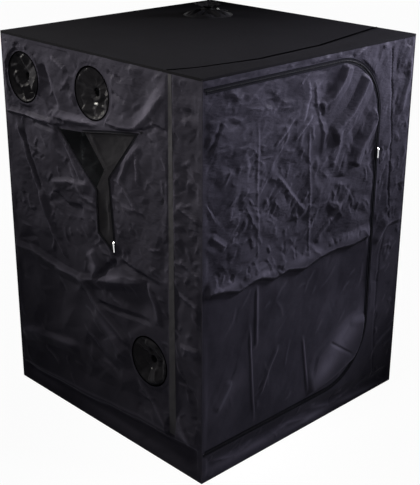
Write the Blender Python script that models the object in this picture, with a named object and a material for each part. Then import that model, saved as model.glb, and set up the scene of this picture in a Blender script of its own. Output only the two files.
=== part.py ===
"""Indoor grow tent: a push-fit tube frame inside a sewn cloth cover.

Metres, +Z up, origin on the ground under the middle of the tent. The door is on the -Y side,
the duct sleeves and the zipped access slit are on the -X side and one sleeve is on the roof.
"""

from math import atan2, cos, exp, hypot, pi, radians, sin, sqrt, tau

import bmesh
import bpy
from mathutils import Matrix, Vector
from mathutils.geometry import delaunay_2d_cdt

# Cover
TENT_WIDTH = 1.5
TENT_DEPTH = 1.5
TENT_HEIGHT = 2.0
CLOTH = 0.002
SEAT_GAP = 0.0003
OVERRUN = 0.004

# Frame tubes and corner connectors
TUBE_DIAMETER = 0.019
TUBE_WALL = 0.0012
TUBE_SIDES = 12
SOCKET_WALL = 0.003
SOCKET_STOP = 0.014
SOCKET_REACH = 0.064
SOCKET_CHAMFER = 0.0012
KNUCKLE_MARGIN = 0.0008
KNUCKLE_BEVEL = 0.003
PUSH_FIT = 0.0003
SPIGOT_LENGTH = 0.05
SPIGOT_TAPER = 0.003
UPRIGHT_SPLIT_SHARE = 0.5

# Hanging bars over the top rails, clear of the roof port
BAR_OFFSET = 0.22
BAR_HOOK_WALL = 0.0026
BAR_HOOK_WIDTH = 0.024
BAR_HOOK_LIP_DEG = 24
BAR_HOOK_STEPS = 12

# Folds of the cloth
FOLD_DEPTH = 0.012
FOLD_WIDTH = 0.055
FLAT_EDGE = 0.034
FLAT_RAMP = 0.11
SAG_DEPTH = 0.006
ROOF_SAG = 0.002
WALL_GRID = 0.105
PLAIN_GRID = 0.15

# Door and its zip
CORNER_STRIP = 0.009
DOOR_WIDTH = 1.22
DOOR_SILL = 0.165
DOOR_HEAD = 0.058
DOOR_CORNER = 0.32
DOOR_CORNER_STEPS = 12
ZIP_GAP = 0.002
TAPE_WIDTH = 0.013
HINGE_RELIEF = 0.012
TAPE = 0.0015

# Access slit of the side wall, as its opened edges lie
SLIT_WIDTH = 0.579
SLIT_HEIGHT = 0.62
SLIT_BEHIND_FRONT = 0.445
SLIT_DROP = 0.337
# The slit's edge from its upper rear corner: shares of its width from its front end and of its
# height from its top
SLIT_SHARES = (
    (1.000, 0.137),
    (0.682, 0.106),
    (0.340, 0.047),
    (0.000, 0.000),
    (0.3575, 0.405),
    (0.309, 0.973),
    (0.326, 1.000),
    (0.504, 0.892),
    (0.511, 0.539),
)
# The flap behind the slit covers it all but its upper rear corner, which gapes open
GAPE_FOOT_SHARES = (0.413, 0.360)
FLAP_OVERLAP = 0.02
FLAT_MARGIN = 0.004

# Sewn seam strip of the side wall
STRIP_PLACE = 0.205
STRIP_TOP_WIDTH = 0.022
STRIP_FOOT_WIDTH = 0.048
STRIP_FOOT = 0.19
STRIP_HEAD = 0.012

# Zip sliders and their pull tabs
SLIDER_LENGTH = 0.021
SLIDER_WIDTH = 0.0124
SLIDER_TAIL_WIDTH = 0.0086
SLIDER_BODY = 0.0032
SLIDER_BEVEL = 0.0006
BRIDGE_LENGTH = 0.0115
BRIDGE_WIDTH = 0.0034
BRIDGE_HEIGHT = 0.0044
BRIDGE_WALL = 0.0014
TAB_LENGTH = 0.05
TAB_WIDTH = 0.011
TAB_THICKNESS = 0.0016
TAB_RAIL = 0.0016
TAB_WINDOW = 0.0085
TAB_CORNER = 0.0016
DOOR_SLIDER_HEIGHT = 1.443
ACCESS_SLIDER_STEP = 0.022

# Duct sleeves
PORT_RADIUS = 0.125
SLEEVE_CLOTH = 0.0015
SLEEVE_FLANGE = 0.012
NECK_RADIUS = 0.021
NECK_HEIGHT = 0.034
NECK_BAND = 0.012
RUFFLE_HEIGHT = 0.024
PLEAT_DEPTH = 0.0052
NECK_PLEAT = 0.0016
PLEATS = 9
STEPS_PER_PLEAT = 3
ROOF_PORT_RIGHT = 0.385
ROOF_PORT_BACK = 0.375
REAR_PORT_BACK = 0.18
REAR_PORT_DROP = 0.212
MIDDLE_PORT_BACK = 0.742
MIDDLE_PORT_DROP = 0.197
LOW_PORT_FRONT = 0.375
LOW_PORT_HEIGHT = 0.53
# Stations from the port's edge to the neck: share of the port's radius, share of the neck's
# height, share of the pleat depth
FUNNEL_SHARES = (
    (0.99, 0.00, 0.00),
    (0.84, 0.10, 0.55),
    (0.64, 0.24, 1.00),
    (0.44, 0.42, 0.85),
    (0.27, 0.62, 0.50),
)
# Stations of the ruffle over the neck: share of the port's radius, share of the ruffle's
# height, share of the pleat depth
RUFFLE_SHARES = (
    (0.26, 0.42, 0.60),
    (0.42, 1.00, 1.25),
)

# Drawcords and cord locks
CORD_DIAMETER = 0.003
CORD_PITCH = 0.0037
CORD_NECK_POINTS = 22
CORD_SLOPE_DEG = 7
ROOF_CORD_TURN_DEG = -36
LOCK_PLACE = 0.056
LOCK_TRAVEL = 0.03
CORD_TAIL = 0.016
LOCK_RADIUS = 0.007
LOCK_BORE = 0.005
LOCK_FIT = 0.0003
LOCK_SIDES = 12
LOCK_FLOOR = 0.002
LOCK_RIM = 0.0022
BUTTON_TRAVEL = 0.003
BUTTON_WEB = 0.0016
BUTTON_HEAD = 0.0024
BUTTON_HEAD_LIP = 0.0014
LOCK_BEVEL = 0.0008

# Floor tray
TRAY_HEIGHT = 0.03
TRAY_WALL = 0.0015
TRAY_MARGIN = 0.004
TRAY_FLARE = 0.002

HALF_WIDTH = TENT_WIDTH / 2
HALF_DEPTH = TENT_DEPTH / 2
TUBE_RADIUS = TUBE_DIAMETER / 2
SOCKET_RADIUS = TUBE_RADIUS + PUSH_FIT + SOCKET_WALL
KNUCKLE_HALF = SOCKET_RADIUS + KNUCKLE_MARGIN
FRAME_INSET = CLOTH + SEAT_GAP + KNUCKLE_HALF
WALL_FOOT = CLOTH + SEAT_GAP
WALL_HEAD = TENT_HEIGHT - CLOTH - SEAT_GAP
DOOR_LEFT = -HALF_WIDTH + CORNER_STRIP
DOOR_TOP = TENT_HEIGHT - DOOR_HEAD
CORD_RADIUS = CORD_DIAMETER / 2

# Walls as planes: +X to the right as seen from outside, +Y up the wall, +Z out of the tent
FRONT = Matrix(((1, 0, 0, 0), (0, 0, -1, -HALF_DEPTH), (0, 1, 0, 0), (0, 0, 0, 1)))
BACK = Matrix(((-1, 0, 0, 0), (0, 0, 1, HALF_DEPTH), (0, 1, 0, 0), (0, 0, 0, 1)))
LEFT = Matrix(((0, 0, -1, -HALF_WIDTH), (-1, 0, 0, 0), (0, 1, 0, 0), (0, 0, 0, 1)))
RIGHT = Matrix(((0, 0, 1, HALF_WIDTH), (1, 0, 0, 0), (0, 1, 0, 0), (0, 0, 0, 1)))
ROOF = Matrix(((1, 0, 0, 0), (0, 1, 0, 0), (0, 0, 1, TENT_HEIGHT), (0, 0, 0, 1)))

# Creases: start and end as shares of the wall's width and height, seen from outside, then
# shares of the fold depth and of the fold width
LEFT_CREASE_SHARES = (
    (0.00, 0.790, 0.30, 0.795, -0.45, 0.45),
    (0.83, 0.945, 0.70, 0.830, -0.50, 0.50),
    (0.60, 0.500, 0.78, 0.270, 0.70, 0.70),
    (0.43, 0.420, 0.60, 0.290, 0.75, 0.60),
    (0.60, 0.290, 0.84, 0.120, 0.55, 0.60),
    (0.05, 0.760, 0.20, 0.480, 0.60, 0.90),
    (0.08, 0.420, 0.40, 0.415, 0.80, 0.70),
    (0.10, 0.200, 0.36, 0.160, -0.40, 0.90),
    (0.64, 0.760, 0.74, 0.560, 0.45, 0.60),
)
DOOR_CREASE_SHARES = (
    (0.02, 0.455, 0.98, 0.475, 0.85, 0.70),
    (0.28, 0.460, 0.28, 0.960, -0.50, 0.45),
    (0.58, 0.460, 0.58, 0.900, -0.55, 0.45),
    (0.60, 0.930, 0.72, 0.700, 0.70, 0.50),
    (0.70, 0.960, 0.82, 0.720, 1.00, 0.65),
    (0.84, 0.930, 0.96, 0.740, 0.85, 0.60),
    (0.66, 0.560, 0.84, 0.420, 0.55, 0.60),
    (0.08, 0.800, 0.26, 0.660, 0.50, 0.80),
    (0.82, 0.220, 0.98, 0.060, -0.55, 0.80),
)
SURROUND_CREASE_SHARES = (
    (0.91, 0.985, 0.90, 0.050, -0.35, 0.40),
    (0.84, 0.480, 1.00, 0.490, 0.60, 0.60),
)
BACK_CREASE_SHARES = (
    (0.00, 0.490, 1.00, 0.480, 0.70, 0.90),
    (0.33, 0.080, 0.33, 0.940, -0.45, 0.60),
    (0.67, 0.080, 0.67, 0.940, -0.45, 0.60),
)
RIGHT_CREASE_SHARES = (
    (0.00, 0.480, 1.00, 0.490, 0.70, 0.90),
    (0.26, 0.080, 0.30, 0.940, -0.45, 0.60),
    (0.70, 0.120, 0.62, 0.900, 0.55, 0.80),
)

MATERIALS = {
    "cover_cloth": ((0.030, 0.029, 0.036, 1), 0.45, 0.0),
    "roof_cloth": ((0.012, 0.012, 0.013, 1), 0.75, 0.0),
    "floor_cloth": ((0.020, 0.020, 0.022, 1), 0.6, 0.0),
    "tube_steel": ((0.62, 0.63, 0.64, 1), 0.35, 0.2),
    "black_plastic": ((0.015, 0.015, 0.016, 1), 0.5, 0.0),
    "grey_plastic": ((0.42, 0.42, 0.43, 1), 0.4, 0.0),
    "zip_tape": ((0.008, 0.008, 0.010, 1), 0.7, 0.0),
    "bright_metal": ((0.72, 0.73, 0.75, 1), 0.22, 1.0),
    "cord_braid": ((0.02, 0.02, 0.02, 1), 0.8, 0.0),
}


def material(name):
    """Return the named material, made the first time it is asked for."""
    found = bpy.data.materials.get(name)
    if found:
        return found
    made = bpy.data.materials.new(name)
    made.use_nodes = True
    colour, roughness, metallic = MATERIALS[name]
    shader = made.node_tree.nodes["Principled BSDF"]
    shader.inputs["Base Color"].default_value = colour
    shader.inputs["Roughness"].default_value = roughness
    shader.inputs["Metallic"].default_value = metallic
    made.diffuse_color = colour
    return made


def place_object(name, mesh_or_curve, finish, place, parent=None):
    """Link an object that carries a mesh or a curve, at its place."""
    item = bpy.data.objects.new(name, mesh_or_curve)
    bpy.context.scene.collection.objects.link(item)
    mesh_or_curve.materials.append(material(finish))
    item.parent = parent
    item.matrix_local = place
    return item


def mesh_object(name, shape, finish, place=Matrix(), parent=None, sharp_deg=40):
    """Turn a bmesh into a shaded object."""
    mesh = bpy.data.meshes.new(name)
    shape.to_mesh(mesh)
    shape.free()
    item = place_object(name, mesh, finish, place, parent)
    mesh.shade_smooth()
    mesh.set_sharp_from_angle(angle=radians(sharp_deg))
    return item


def cutter(shape, place=Matrix()):
    """A hidden object that only cuts or joins others."""
    item = mesh_object("cutter", shape, "black_plastic", place)
    item.hide_render = True
    item.display_type = "WIRE"
    return item


def boolean(item, other, operation):
    """Join another shape to an object, or cut it away."""
    change = item.modifiers.new(operation.title(), "BOOLEAN")
    change.operation = operation
    change.solver = "EXACT"
    change.object = other


def thicken(item, thickness, side):
    """Give a cloth surface its thickness, to one side of it."""
    shell = item.modifiers.new("Cloth", "SOLIDIFY")
    shell.thickness = thickness
    shell.offset = side


def turned(outline, sides):
    """Revolve a closed outline of (radius, height) points about Z."""
    shape = bmesh.new()
    rings = []
    for radius, height in outline:
        if radius == 0:
            rings.append([shape.verts.new((0, 0, height))])
            continue
        angles = [tau * step / sides for step in range(sides)]
        rings.append([shape.verts.new((radius * cos(a), radius * sin(a), height)) for a in angles])
    pairs = list(zip(rings, rings[1:] + rings[:1]))
    if len(rings[0]) == 1:
        pairs.pop()
    for low, high in pairs:
        for side in range(sides):
            after = (side + 1) % sides
            corners = [low[side % len(low)], low[after % len(low)]]
            corners += [high[after % len(high)], high[side % len(high)]]
            shape.faces.new(list(dict.fromkeys(corners)))
    bmesh.ops.recalc_face_normals(shape, faces=shape.faces)
    return shape


def block(low, high):
    """A box between two corners."""
    shape = bmesh.new()
    middle = (Vector(low) + Vector(high)) / 2
    size = Vector(high) - Vector(low)
    place = Matrix.Translation(middle) @ Matrix.Diagonal(size).to_4x4()
    bmesh.ops.create_cube(shape, size=1, matrix=place)
    return shape


def along(start, direction):
    """A place at start whose +Z points in a direction."""
    turn = Vector(direction).to_track_quat("Z", "Y").to_matrix().to_4x4()
    return Matrix.Translation(start) @ turn


def tube_outline(length):
    inner = TUBE_RADIUS - TUBE_WALL
    return [(TUBE_RADIUS, 0), (TUBE_RADIUS, length), (inner, length), (inner, 0)]


def spigot_tube_outline(length):
    """A tube whose foot is drawn in, to push into the tube below it."""
    inner = TUBE_RADIUS - TUBE_WALL
    spigot = inner - PUSH_FIT
    bore = spigot - TUBE_WALL
    return [
        (spigot, -SPIGOT_LENGTH),
        (spigot, -SPIGOT_TAPER),
        (TUBE_RADIUS, SPIGOT_TAPER),
        (TUBE_RADIUS, length),
        (inner, length),
        (inner, SPIGOT_TAPER),
        (bore, -SPIGOT_TAPER),
        (bore, -SPIGOT_LENGTH),
    ]


def tube(name, start, direction, outline):
    shape = turned(outline, TUBE_SIDES)
    return mesh_object(name, shape, "tube_steel", along(start, direction))


def connector(name, corner, reaches):
    """A three-way corner connector: a bevelled knuckle with a bored socket along each edge."""
    knuckle = block([-KNUCKLE_HALF] * 3, [KNUCKLE_HALF] * 3)
    bmesh.ops.bevel(knuckle, geom=knuckle.edges[:], offset=KNUCKLE_BEVEL, segments=1, affect="EDGES")
    item = mesh_object(name, knuckle, "black_plastic", Matrix.Translation(corner))
    for reach in reaches:
        socket = [
            (0, 0),
            (SOCKET_RADIUS, 0),
            (SOCKET_RADIUS, SOCKET_REACH - SOCKET_CHAMFER),
            (SOCKET_RADIUS - SOCKET_CHAMFER, SOCKET_REACH),
            (0, SOCKET_REACH),
        ]
        boolean(item, cutter(turned(socket, TUBE_SIDES), along(corner, reach)), "UNION")
    bore = TUBE_RADIUS + PUSH_FIT
    mouth = SOCKET_REACH + OVERRUN
    for reach in reaches:
        hollow = [(0, SOCKET_STOP), (bore, SOCKET_STOP), (bore, mouth), (0, mouth)]
        boolean(item, cutter(turned(hollow, TUBE_SIDES), along(corner, reach)), "DIFFERENCE")


def build_frame():
    """Eight connectors, four two-piece uprights, eight rails and two hanging bars."""
    right = HALF_WIDTH - FRAME_INSET
    back = HALF_DEPTH - FRAME_INSET
    levels = {"bottom": FRAME_INSET, "top": TENT_HEIGHT - FRAME_INSET}
    sides = {"left": -1, "right": 1}
    ends = {"front": -1, "back": 1}
    start = SOCKET_STOP + SEAT_GAP
    for level, height in levels.items():
        up = 1 if level == "bottom" else -1
        for end, y_sign in ends.items():
            for side, x_sign in sides.items():
                corner = Vector((x_sign * right, y_sign * back, height))
                reaches = ((-x_sign, 0, 0), (0, -y_sign, 0), (0, 0, up))
                connector(f"{level}_connector_{end}_{side}", corner, reaches)
            rail = tube_outline(2 * (right - start))
            tube(f"{level}_rail_{end}", (start - right, y_sign * back, height), (1, 0, 0), rail)
        for side, x_sign in sides.items():
            rail = tube_outline(2 * (back - start))
            tube(f"{level}_rail_{side}", (x_sign * right, start - back, height), (0, 1, 0), rail)
    foot = levels["bottom"] + start
    head = levels["top"] - start
    split = foot + (head - foot) * UPRIGHT_SPLIT_SHARE
    for end, y_sign in ends.items():
        for side, x_sign in sides.items():
            place = (x_sign * right, y_sign * back)
            tube(f"lower_upright_{end}_{side}", (*place, foot), (0, 0, 1), tube_outline(split - foot))
            # The shoulder's taper rests just above the rim of the lower tube
            seat = split + SPIGOT_TAPER + SEAT_GAP
            tube(
                f"upper_upright_{end}_{side}",
                (*place, seat),
                (0, 0, 1),
                spigot_tube_outline(head - seat),
            )
    for side, x_sign in sides.items():
        hanging_bar(f"hanging_bar_{side}", Vector((x_sign * BAR_OFFSET, 0, levels["top"])), back)


def hanging_bar(name, middle, rail_place):
    """A bar from rail to rail whose hooked ends clip over the top rails from above."""
    inner = TUBE_RADIUS + PUSH_FIT
    outer = inner + BAR_HOOK_WALL
    reach = rail_place - (inner + outer) / 2
    bore = TUBE_RADIUS - TUBE_WALL
    outline = [(TUBE_RADIUS, -reach), (TUBE_RADIUS, reach), (bore, reach), (bore, -reach)]
    item = mesh_object(name, turned(outline, TUBE_SIDES), "tube_steel", along(middle, (0, 1, 0)))
    lip = radians(BAR_HOOK_LIP_DEG)
    for y_sign in (-1, 1):
        hook = bmesh.new()
        rim = []
        # From below the bar's own end, over the rail and a little past its far side
        first = -lip if y_sign < 0 else pi + lip
        sweep = (pi + 2 * lip) * (1 if y_sign < 0 else -1)
        angles = [first + sweep * step / BAR_HOOK_STEPS for step in range(BAR_HOOK_STEPS + 1)]
        for radius, order in ((inner, angles), (outer, angles[::-1])):
            rim += [hook.verts.new((-BAR_HOOK_WIDTH / 2, radius * cos(a), radius * sin(a))) for a in order]
        face = hook.faces.new(rim)
        grown = bmesh.ops.extrude_face_region(hook, geom=[face])
        moved = [v for v in grown["geom"] if isinstance(v, bmesh.types.BMVert)]
        bmesh.ops.translate(hook, verts=moved, vec=(BAR_HOOK_WIDTH, 0, 0))
        bmesh.ops.recalc_face_normals(hook, faces=hook.faces)
        place = Matrix.Translation(middle + Vector((0, y_sign * rail_place, 0)))
        boolean(item, cutter(hook, place), "UNION")


def inside(point, polygon):
    """Whether a point lies in a polygon, by counting the edges to its right."""
    x, y = point
    crossings = 0
    for (ax, ay), (bx, by) in zip(polygon, polygon[1:] + polygon[:1]):
        if (ay > y) != (by > y) and x < ax + (y - ay) * (bx - ax) / (by - ay):
            crossings += 1
    return crossings % 2 == 1


def segment_distance(point, start, end):
    run = Vector(end) - Vector(start)
    share = (Vector(point) - Vector(start)).dot(run) / run.length_squared
    nearest = Vector(start) + run * min(1, max(0, share))
    return (Vector(point) - nearest).length


def outline_distance(point, polygon):
    return min(segment_distance(point, a, b) for a, b in zip(polygon, polygon[1:] + polygon[:1]))


def grown_outline(polygon, margin):
    """A polygon with each side moved outwards; it runs anticlockwise or clockwise alike."""
    area = sum(a[0] * b[1] - b[0] * a[1] for a, b in zip(polygon, polygon[1:] + polygon[:1]))
    side = 1 if area > 0 else -1
    moved = []
    count = len(polygon)
    for index in range(count):
        before, here, after = polygon[index - 1], polygon[index], polygon[(index + 1) % count]
        first = (Vector(here) - Vector(before)).normalized()
        second = (Vector(after) - Vector(here)).normalized()
        first_out = Vector((first.y, -first.x)) * side
        second_out = Vector((second.y, -second.x)) * side
        mitre = (first_out + second_out) / (1 + first_out.dot(second_out))
        moved.append(tuple(Vector(here) + mitre * margin))
    return moved


def circle(centre, radius, steps):
    angles = [tau * (step + 1 / 2) / steps for step in range(steps)]
    return [(centre[0] + radius * cos(a), centre[1] + radius * sin(a)) for a in angles]


def rectangle(left, bottom, right, top):
    return [(left, bottom), (right, bottom), (right, top), (left, top)]


def smooth_step(value):
    share = min(1, max(0, value))
    return share * share * (3 - 2 * share)


def folds(outline, creases, sag, flat_loops):
    """Return how far inwards the cloth lies at a point: none near its edge and in its flat loops."""
    left = min(x for x, _ in outline)
    bottom = min(y for _, y in outline)
    width = max(x for x, _ in outline) - left
    height = max(y for _, y in outline) - bottom
    lines = []
    for start_x, start_y, end_x, end_y, depth_share, width_share in creases:
        start = (left + start_x * width, bottom + start_y * height)
        end = (left + end_x * width, bottom + end_y * height)
        lines.append((start, end, depth_share * FOLD_DEPTH, width_share * FOLD_WIDTH))

    def depth(point):
        held = smooth_step((outline_distance(point, outline) - FLAT_EDGE) / FLAT_RAMP)
        for loop in flat_loops:
            held *= 0 if inside(point, loop) else smooth_step(outline_distance(point, loop) / FLAT_RAMP * 2)
        total = sag
        for start, end, crease_depth, crease_width in lines:
            total += crease_depth * exp(-((segment_distance(point, start, end) / crease_width) ** 2))
        return held * max(0, total)

    return depth


def no_folds(_point):
    return 0


def cloth_panel(name, outline, holes, finish, place, thickness=CLOTH, side=-1, laid=None):
    """A sheet of cloth cut to an outline with holes, plain or laid in folds on its wall."""
    spacing, creases, sag, flat_loops = laid or (None, (), 0, [])
    depth = folds(outline, creases, sag, flat_loops) if laid else no_folds
    points = []
    edges = []
    border = [grown_outline(outline, -FLAT_EDGE)] if laid else []
    for loop in [outline, *holes, *flat_loops, *border]:
        first = len(points)
        points += loop
        edges += [(first + k, first + (k + 1) % len(loop)) for k in range(len(loop))]
    if spacing:
        left, right = min(x for x, _ in outline), max(x for x, _ in outline)
        bottom, top = min(y for _, y in outline), max(y for _, y in outline)
        columns = max(1, round((right - left) / spacing))
        rows = max(1, round((top - bottom) / spacing))
        for row in range(1, rows):
            shift = (row % 2) / 2
            for column in range(1, columns):
                point = (
                    left + (right - left) * (column + shift - 1 / 4) / columns,
                    bottom + (top - bottom) * row / rows,
                )
                clear = inside(point, outline) and not any(inside(point, hole) for hole in holes)
                loops = [outline, *holes, *flat_loops]
                if clear and min(outline_distance(point, loop) for loop in loops) > spacing / 3:
                    points.append(point)
    flat = [Vector(point) for point in points]
    corners, _, faces = delaunay_2d_cdt(flat, edges, [], 0, CLOTH / 1000, False)[:3]
    shape = bmesh.new()
    verts = [shape.verts.new((c.x, c.y, -depth((c.x, c.y)))) for c in corners]
    for face in faces:
        middle = sum((corners[k] for k in face), Vector((0, 0))) / len(face)
        if inside(middle, outline) and not any(inside(middle, hole) for hole in holes):
            shape.faces.new([verts[k] for k in face])
    bmesh.ops.delete(shape, geom=[v for v in shape.verts if not v.link_faces], context="VERTS")
    shape.normal_update()
    bmesh.ops.reverse_faces(shape, faces=[f for f in shape.faces if f.normal.z < 0])
    item = mesh_object(name, shape, finish, place, sharp_deg=60)
    thicken(item, thickness, side)


def door_outline(margin):
    """The door's edge from the top of its sewn side round to the bottom, in the front wall's plane."""
    right = DOOR_LEFT + DOOR_WIDTH
    radius = DOOR_CORNER + margin
    path = [(DOOR_LEFT, DOOR_TOP + margin)]
    for centre_y, first in ((DOOR_TOP - DOOR_CORNER, pi / 2), (DOOR_SILL + DOOR_CORNER, 0)):
        for step in range(DOOR_CORNER_STEPS + 1):
            angle = first - pi / 2 * step / DOOR_CORNER_STEPS
            path.append((right - DOOR_CORNER + radius * cos(angle), centre_y + radius * sin(angle)))
    path.append((DOOR_LEFT, DOOR_SILL - margin))
    return path


def tape_outline(near, far):
    """A strip along the door's free edge, between two distances from it."""
    return door_outline(near) + door_outline(far)[::-1]


def build_walls():
    """The roof, the back and right walls, the left wall with its ports and slit, and the floor."""
    side = HALF_DEPTH - CLOTH - SEAT_GAP
    wide_wall = rectangle(-HALF_WIDTH, WALL_FOOT, HALF_WIDTH, WALL_HEAD)
    side_wall = rectangle(-side, WALL_FOOT, side, WALL_HEAD)
    back_folds = (PLAIN_GRID, BACK_CREASE_SHARES, SAG_DEPTH, [])
    cloth_panel("back_wall", wide_wall, [], "cover_cloth", BACK, laid=back_folds)
    right_folds = (PLAIN_GRID, RIGHT_CREASE_SHARES, SAG_DEPTH, [])
    cloth_panel("right_wall", side_wall, [], "cover_cloth", RIGHT, laid=right_folds)

    port_steps = PLEATS * 2
    flat_radius = PORT_RADIUS + SLEEVE_FLANGE + FLAT_MARGIN
    centres = [(-place.y, place.z) for place in side_port_places().values()]
    ports = [circle(centre, PORT_RADIUS, port_steps) for centre in centres]
    slit = slit_outline()
    flat_loops = [circle(centre, flat_radius, port_steps) for centre in centres]
    flat_loops += [grown_outline(slit, FLAP_OVERLAP + FLAT_MARGIN), strip_outline()]
    left_folds = (WALL_GRID, LEFT_CREASE_SHARES, SAG_DEPTH, flat_loops)
    cloth_panel("left_wall", side_wall, [*ports, slit], "cover_cloth", LEFT, laid=left_folds)

    roof = rectangle(-HALF_WIDTH, -HALF_DEPTH, HALF_WIDTH, HALF_DEPTH)
    roof_centre = (roof_port_place().x, roof_port_place().y)
    roof_port = circle(roof_centre, PORT_RADIUS, port_steps)
    roof_folds = (PLAIN_GRID, (), ROOF_SAG, [circle(roof_centre, flat_radius, port_steps)])
    cloth_panel("roof_panel", roof, [roof_port], "roof_cloth", ROOF, laid=roof_folds)
    floor = Matrix.Translation((0, 0, CLOTH))
    cloth_panel("floor_sheet", roof, [], "floor_cloth", floor)


def slit_point(shares):
    """A place on the left wall's plane from shares of the slit's width and height."""
    back, down = shares
    from_front = SLIT_BEHIND_FRONT + back * SLIT_WIDTH
    below_roof = SLIT_DROP + down * SLIT_HEIGHT
    return (HALF_DEPTH - from_front, TENT_HEIGHT - below_roof)


def slit_outline():
    return [slit_point(shares) for shares in SLIT_SHARES]


def strip_outline():
    """The seam strip: narrow at the roof and wider at its foot."""
    place = HALF_DEPTH - STRIP_PLACE
    top = WALL_HEAD - STRIP_HEAD
    return [
        (place - STRIP_FOOT_WIDTH / 2, STRIP_FOOT),
        (place + STRIP_FOOT_WIDTH / 2, STRIP_FOOT),
        (place + STRIP_TOP_WIDTH / 2, top),
        (place - STRIP_TOP_WIDTH / 2, top),
    ]


def build_access_slit():
    """The zip tape round the slit, the flap behind it, the seam strip, and the slider."""
    tape_place = LEFT @ Matrix.Translation((0, 0, SEAT_GAP))
    edge = slit_outline()
    tape = grown_outline(edge, TAPE_WIDTH)
    cloth_panel("access_zip_tape", tape, [edge], "zip_tape", tape_place, TAPE, 1)
    flap = grown_outline(edge, FLAP_OVERLAP)[1:] + [slit_point(GAPE_FOOT_SHARES)]
    flap_place = LEFT @ Matrix.Translation((0, 0, -CLOTH - SEAT_GAP))
    cloth_panel("access_flap", flap, [], "cover_cloth", flap_place)
    cloth_panel("side_seam_strip", strip_outline(), [], "cover_cloth", tape_place, TAPE, 1)
    foot = Vector(edge[5])
    head = Vector(edge[4])
    run = (head - foot).normalized()
    across = Vector((run.y, -run.x))
    middle = foot + run * ACCESS_SLIDER_STEP + across * (TAPE_WIDTH / 2)
    turn = Matrix.Rotation(atan2(run.y, run.x) - pi / 2, 4, "Z")
    seat = Matrix.Translation((middle.x, middle.y, SEAT_GAP + TAPE + SEAT_GAP))
    zip_slider("access", LEFT @ seat @ turn)


def build_door():
    """The D-shaped door, sewn at its left, the surround it closes, their zip tapes and slider."""
    surround = rectangle(-HALF_WIDTH, WALL_FOOT, HALF_WIDTH, WALL_HEAD)
    opening = door_outline(ZIP_GAP)
    opening[0] = (DOOR_LEFT - SEAT_GAP, opening[0][1])
    opening[-1] = (DOOR_LEFT - SEAT_GAP, opening[-1][1])
    taped = door_outline(ZIP_GAP + TAPE_WIDTH + FLAT_MARGIN)
    surround_folds = (PLAIN_GRID, SURROUND_CREASE_SHARES, SAG_DEPTH, [taped])
    cloth_panel("front_surround", surround, [opening], "cover_cloth", FRONT, laid=surround_folds)
    hinge = Matrix.Translation((DOOR_LEFT, 0, 0))
    door = [(x - DOOR_LEFT, y) for x, y in door_outline(0)]
    door_folds = (WALL_GRID, DOOR_CREASE_SHARES, SAG_DEPTH, [])
    cloth_panel("door_panel", door, [], "cover_cloth", hinge @ FRONT, laid=door_folds)
    lifted = Matrix.Translation((0, 0, SEAT_GAP))
    # The tape stops short of the hinge line, which it would foul when the door lies back
    door_tape = [(max(HINGE_RELIEF, x - DOOR_LEFT), y) for x, y in tape_outline(0, -TAPE_WIDTH)]
    cloth_panel("door_zip_tape", door_tape, [], "zip_tape", hinge @ FRONT @ lifted, TAPE, 1)
    tape = tape_outline(ZIP_GAP, ZIP_GAP + TAPE_WIDTH)
    cloth_panel("surround_zip_tape", tape, [], "zip_tape", FRONT @ lifted, TAPE, 1)
    middle = DOOR_LEFT + DOOR_WIDTH + ZIP_GAP + TAPE_WIDTH / 2
    seat = Matrix.Translation((middle, DOOR_SLIDER_HEIGHT, SEAT_GAP + TAPE + SEAT_GAP))
    zip_slider("door", FRONT @ seat)


def extruded(outline, low, high):
    """A flat outline raised between two heights."""
    shape = bmesh.new()
    face = shape.faces.new([shape.verts.new((x, y, low)) for x, y in outline])
    grown = bmesh.ops.extrude_face_region(shape, geom=[face])
    moved = [v for v in grown["geom"] if isinstance(v, bmesh.types.BMVert)]
    bmesh.ops.translate(shape, verts=moved, vec=(0, 0, high - low))
    bmesh.ops.recalc_face_normals(shape, faces=shape.faces)
    return shape


def zip_slider(zip_name, place):
    """A slider with its bridge, and the pull tab that hangs from the bridge."""
    top = SLIDER_LENGTH / 2
    wide = SLIDER_WIDTH / 2
    tail = SLIDER_TAIL_WIDTH / 2
    body = [
        (-tail, -top),
        (tail, -top),
        (tail, -top / 4),
        (wide, top / 3),
        (wide, top * 3 / 4),
        (wide / 2, top),
        (-wide / 2, top),
        (-wide, top * 3 / 4),
        (-wide, top / 3),
        (-tail, -top / 4),
    ]
    shape = extruded(body, 0, SLIDER_BODY)
    rim = [e for e in shape.edges if all(abs(v.co.z - SLIDER_BODY) < SEAT_GAP / 2 for v in e.verts)]
    bmesh.ops.bevel(shape, geom=rim, offset=SLIDER_BEVEL, segments=1, affect="EDGES")
    slider = mesh_object(f"{zip_name}_slider", shape, "bright_metal", place)
    half = BRIDGE_LENGTH / 2
    roof = SLIDER_BODY + BRIDGE_HEIGHT
    low = SLIDER_BODY / 2
    gap = half - BRIDGE_WALL
    slope = BRIDGE_WALL
    arch = [
        (-half, low),
        (-gap, low),
        (-gap, roof - 2 * BRIDGE_WALL),
        (-gap + slope, roof - BRIDGE_WALL),
        (gap - slope, roof - BRIDGE_WALL),
        (gap, roof - 2 * BRIDGE_WALL),
        (gap, low),
        (half, low),
        (half, roof - slope),
        (half - slope, roof),
        (slope - half, roof),
        (-half, roof - slope),
    ]
    upright = Matrix(((0, 0, 1, 0), (1, 0, 0, 0), (0, 1, 0, 0), (0, 0, 0, 1)))
    bridge = extruded(arch, -BRIDGE_WIDTH / 2, BRIDGE_WIDTH / 2)
    boolean(slider, cutter(bridge, place @ upright), "UNION")
    # The square rail turns under the bridge on its corners
    turning = TAB_RAIL / sqrt(2)
    pivot = Matrix.Translation((0, gap - TAB_RAIL - SEAT_GAP, SLIDER_BODY + SEAT_GAP + turning))
    pull_tab(f"{zip_name}_pull_tab", pivot, slider)


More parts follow.
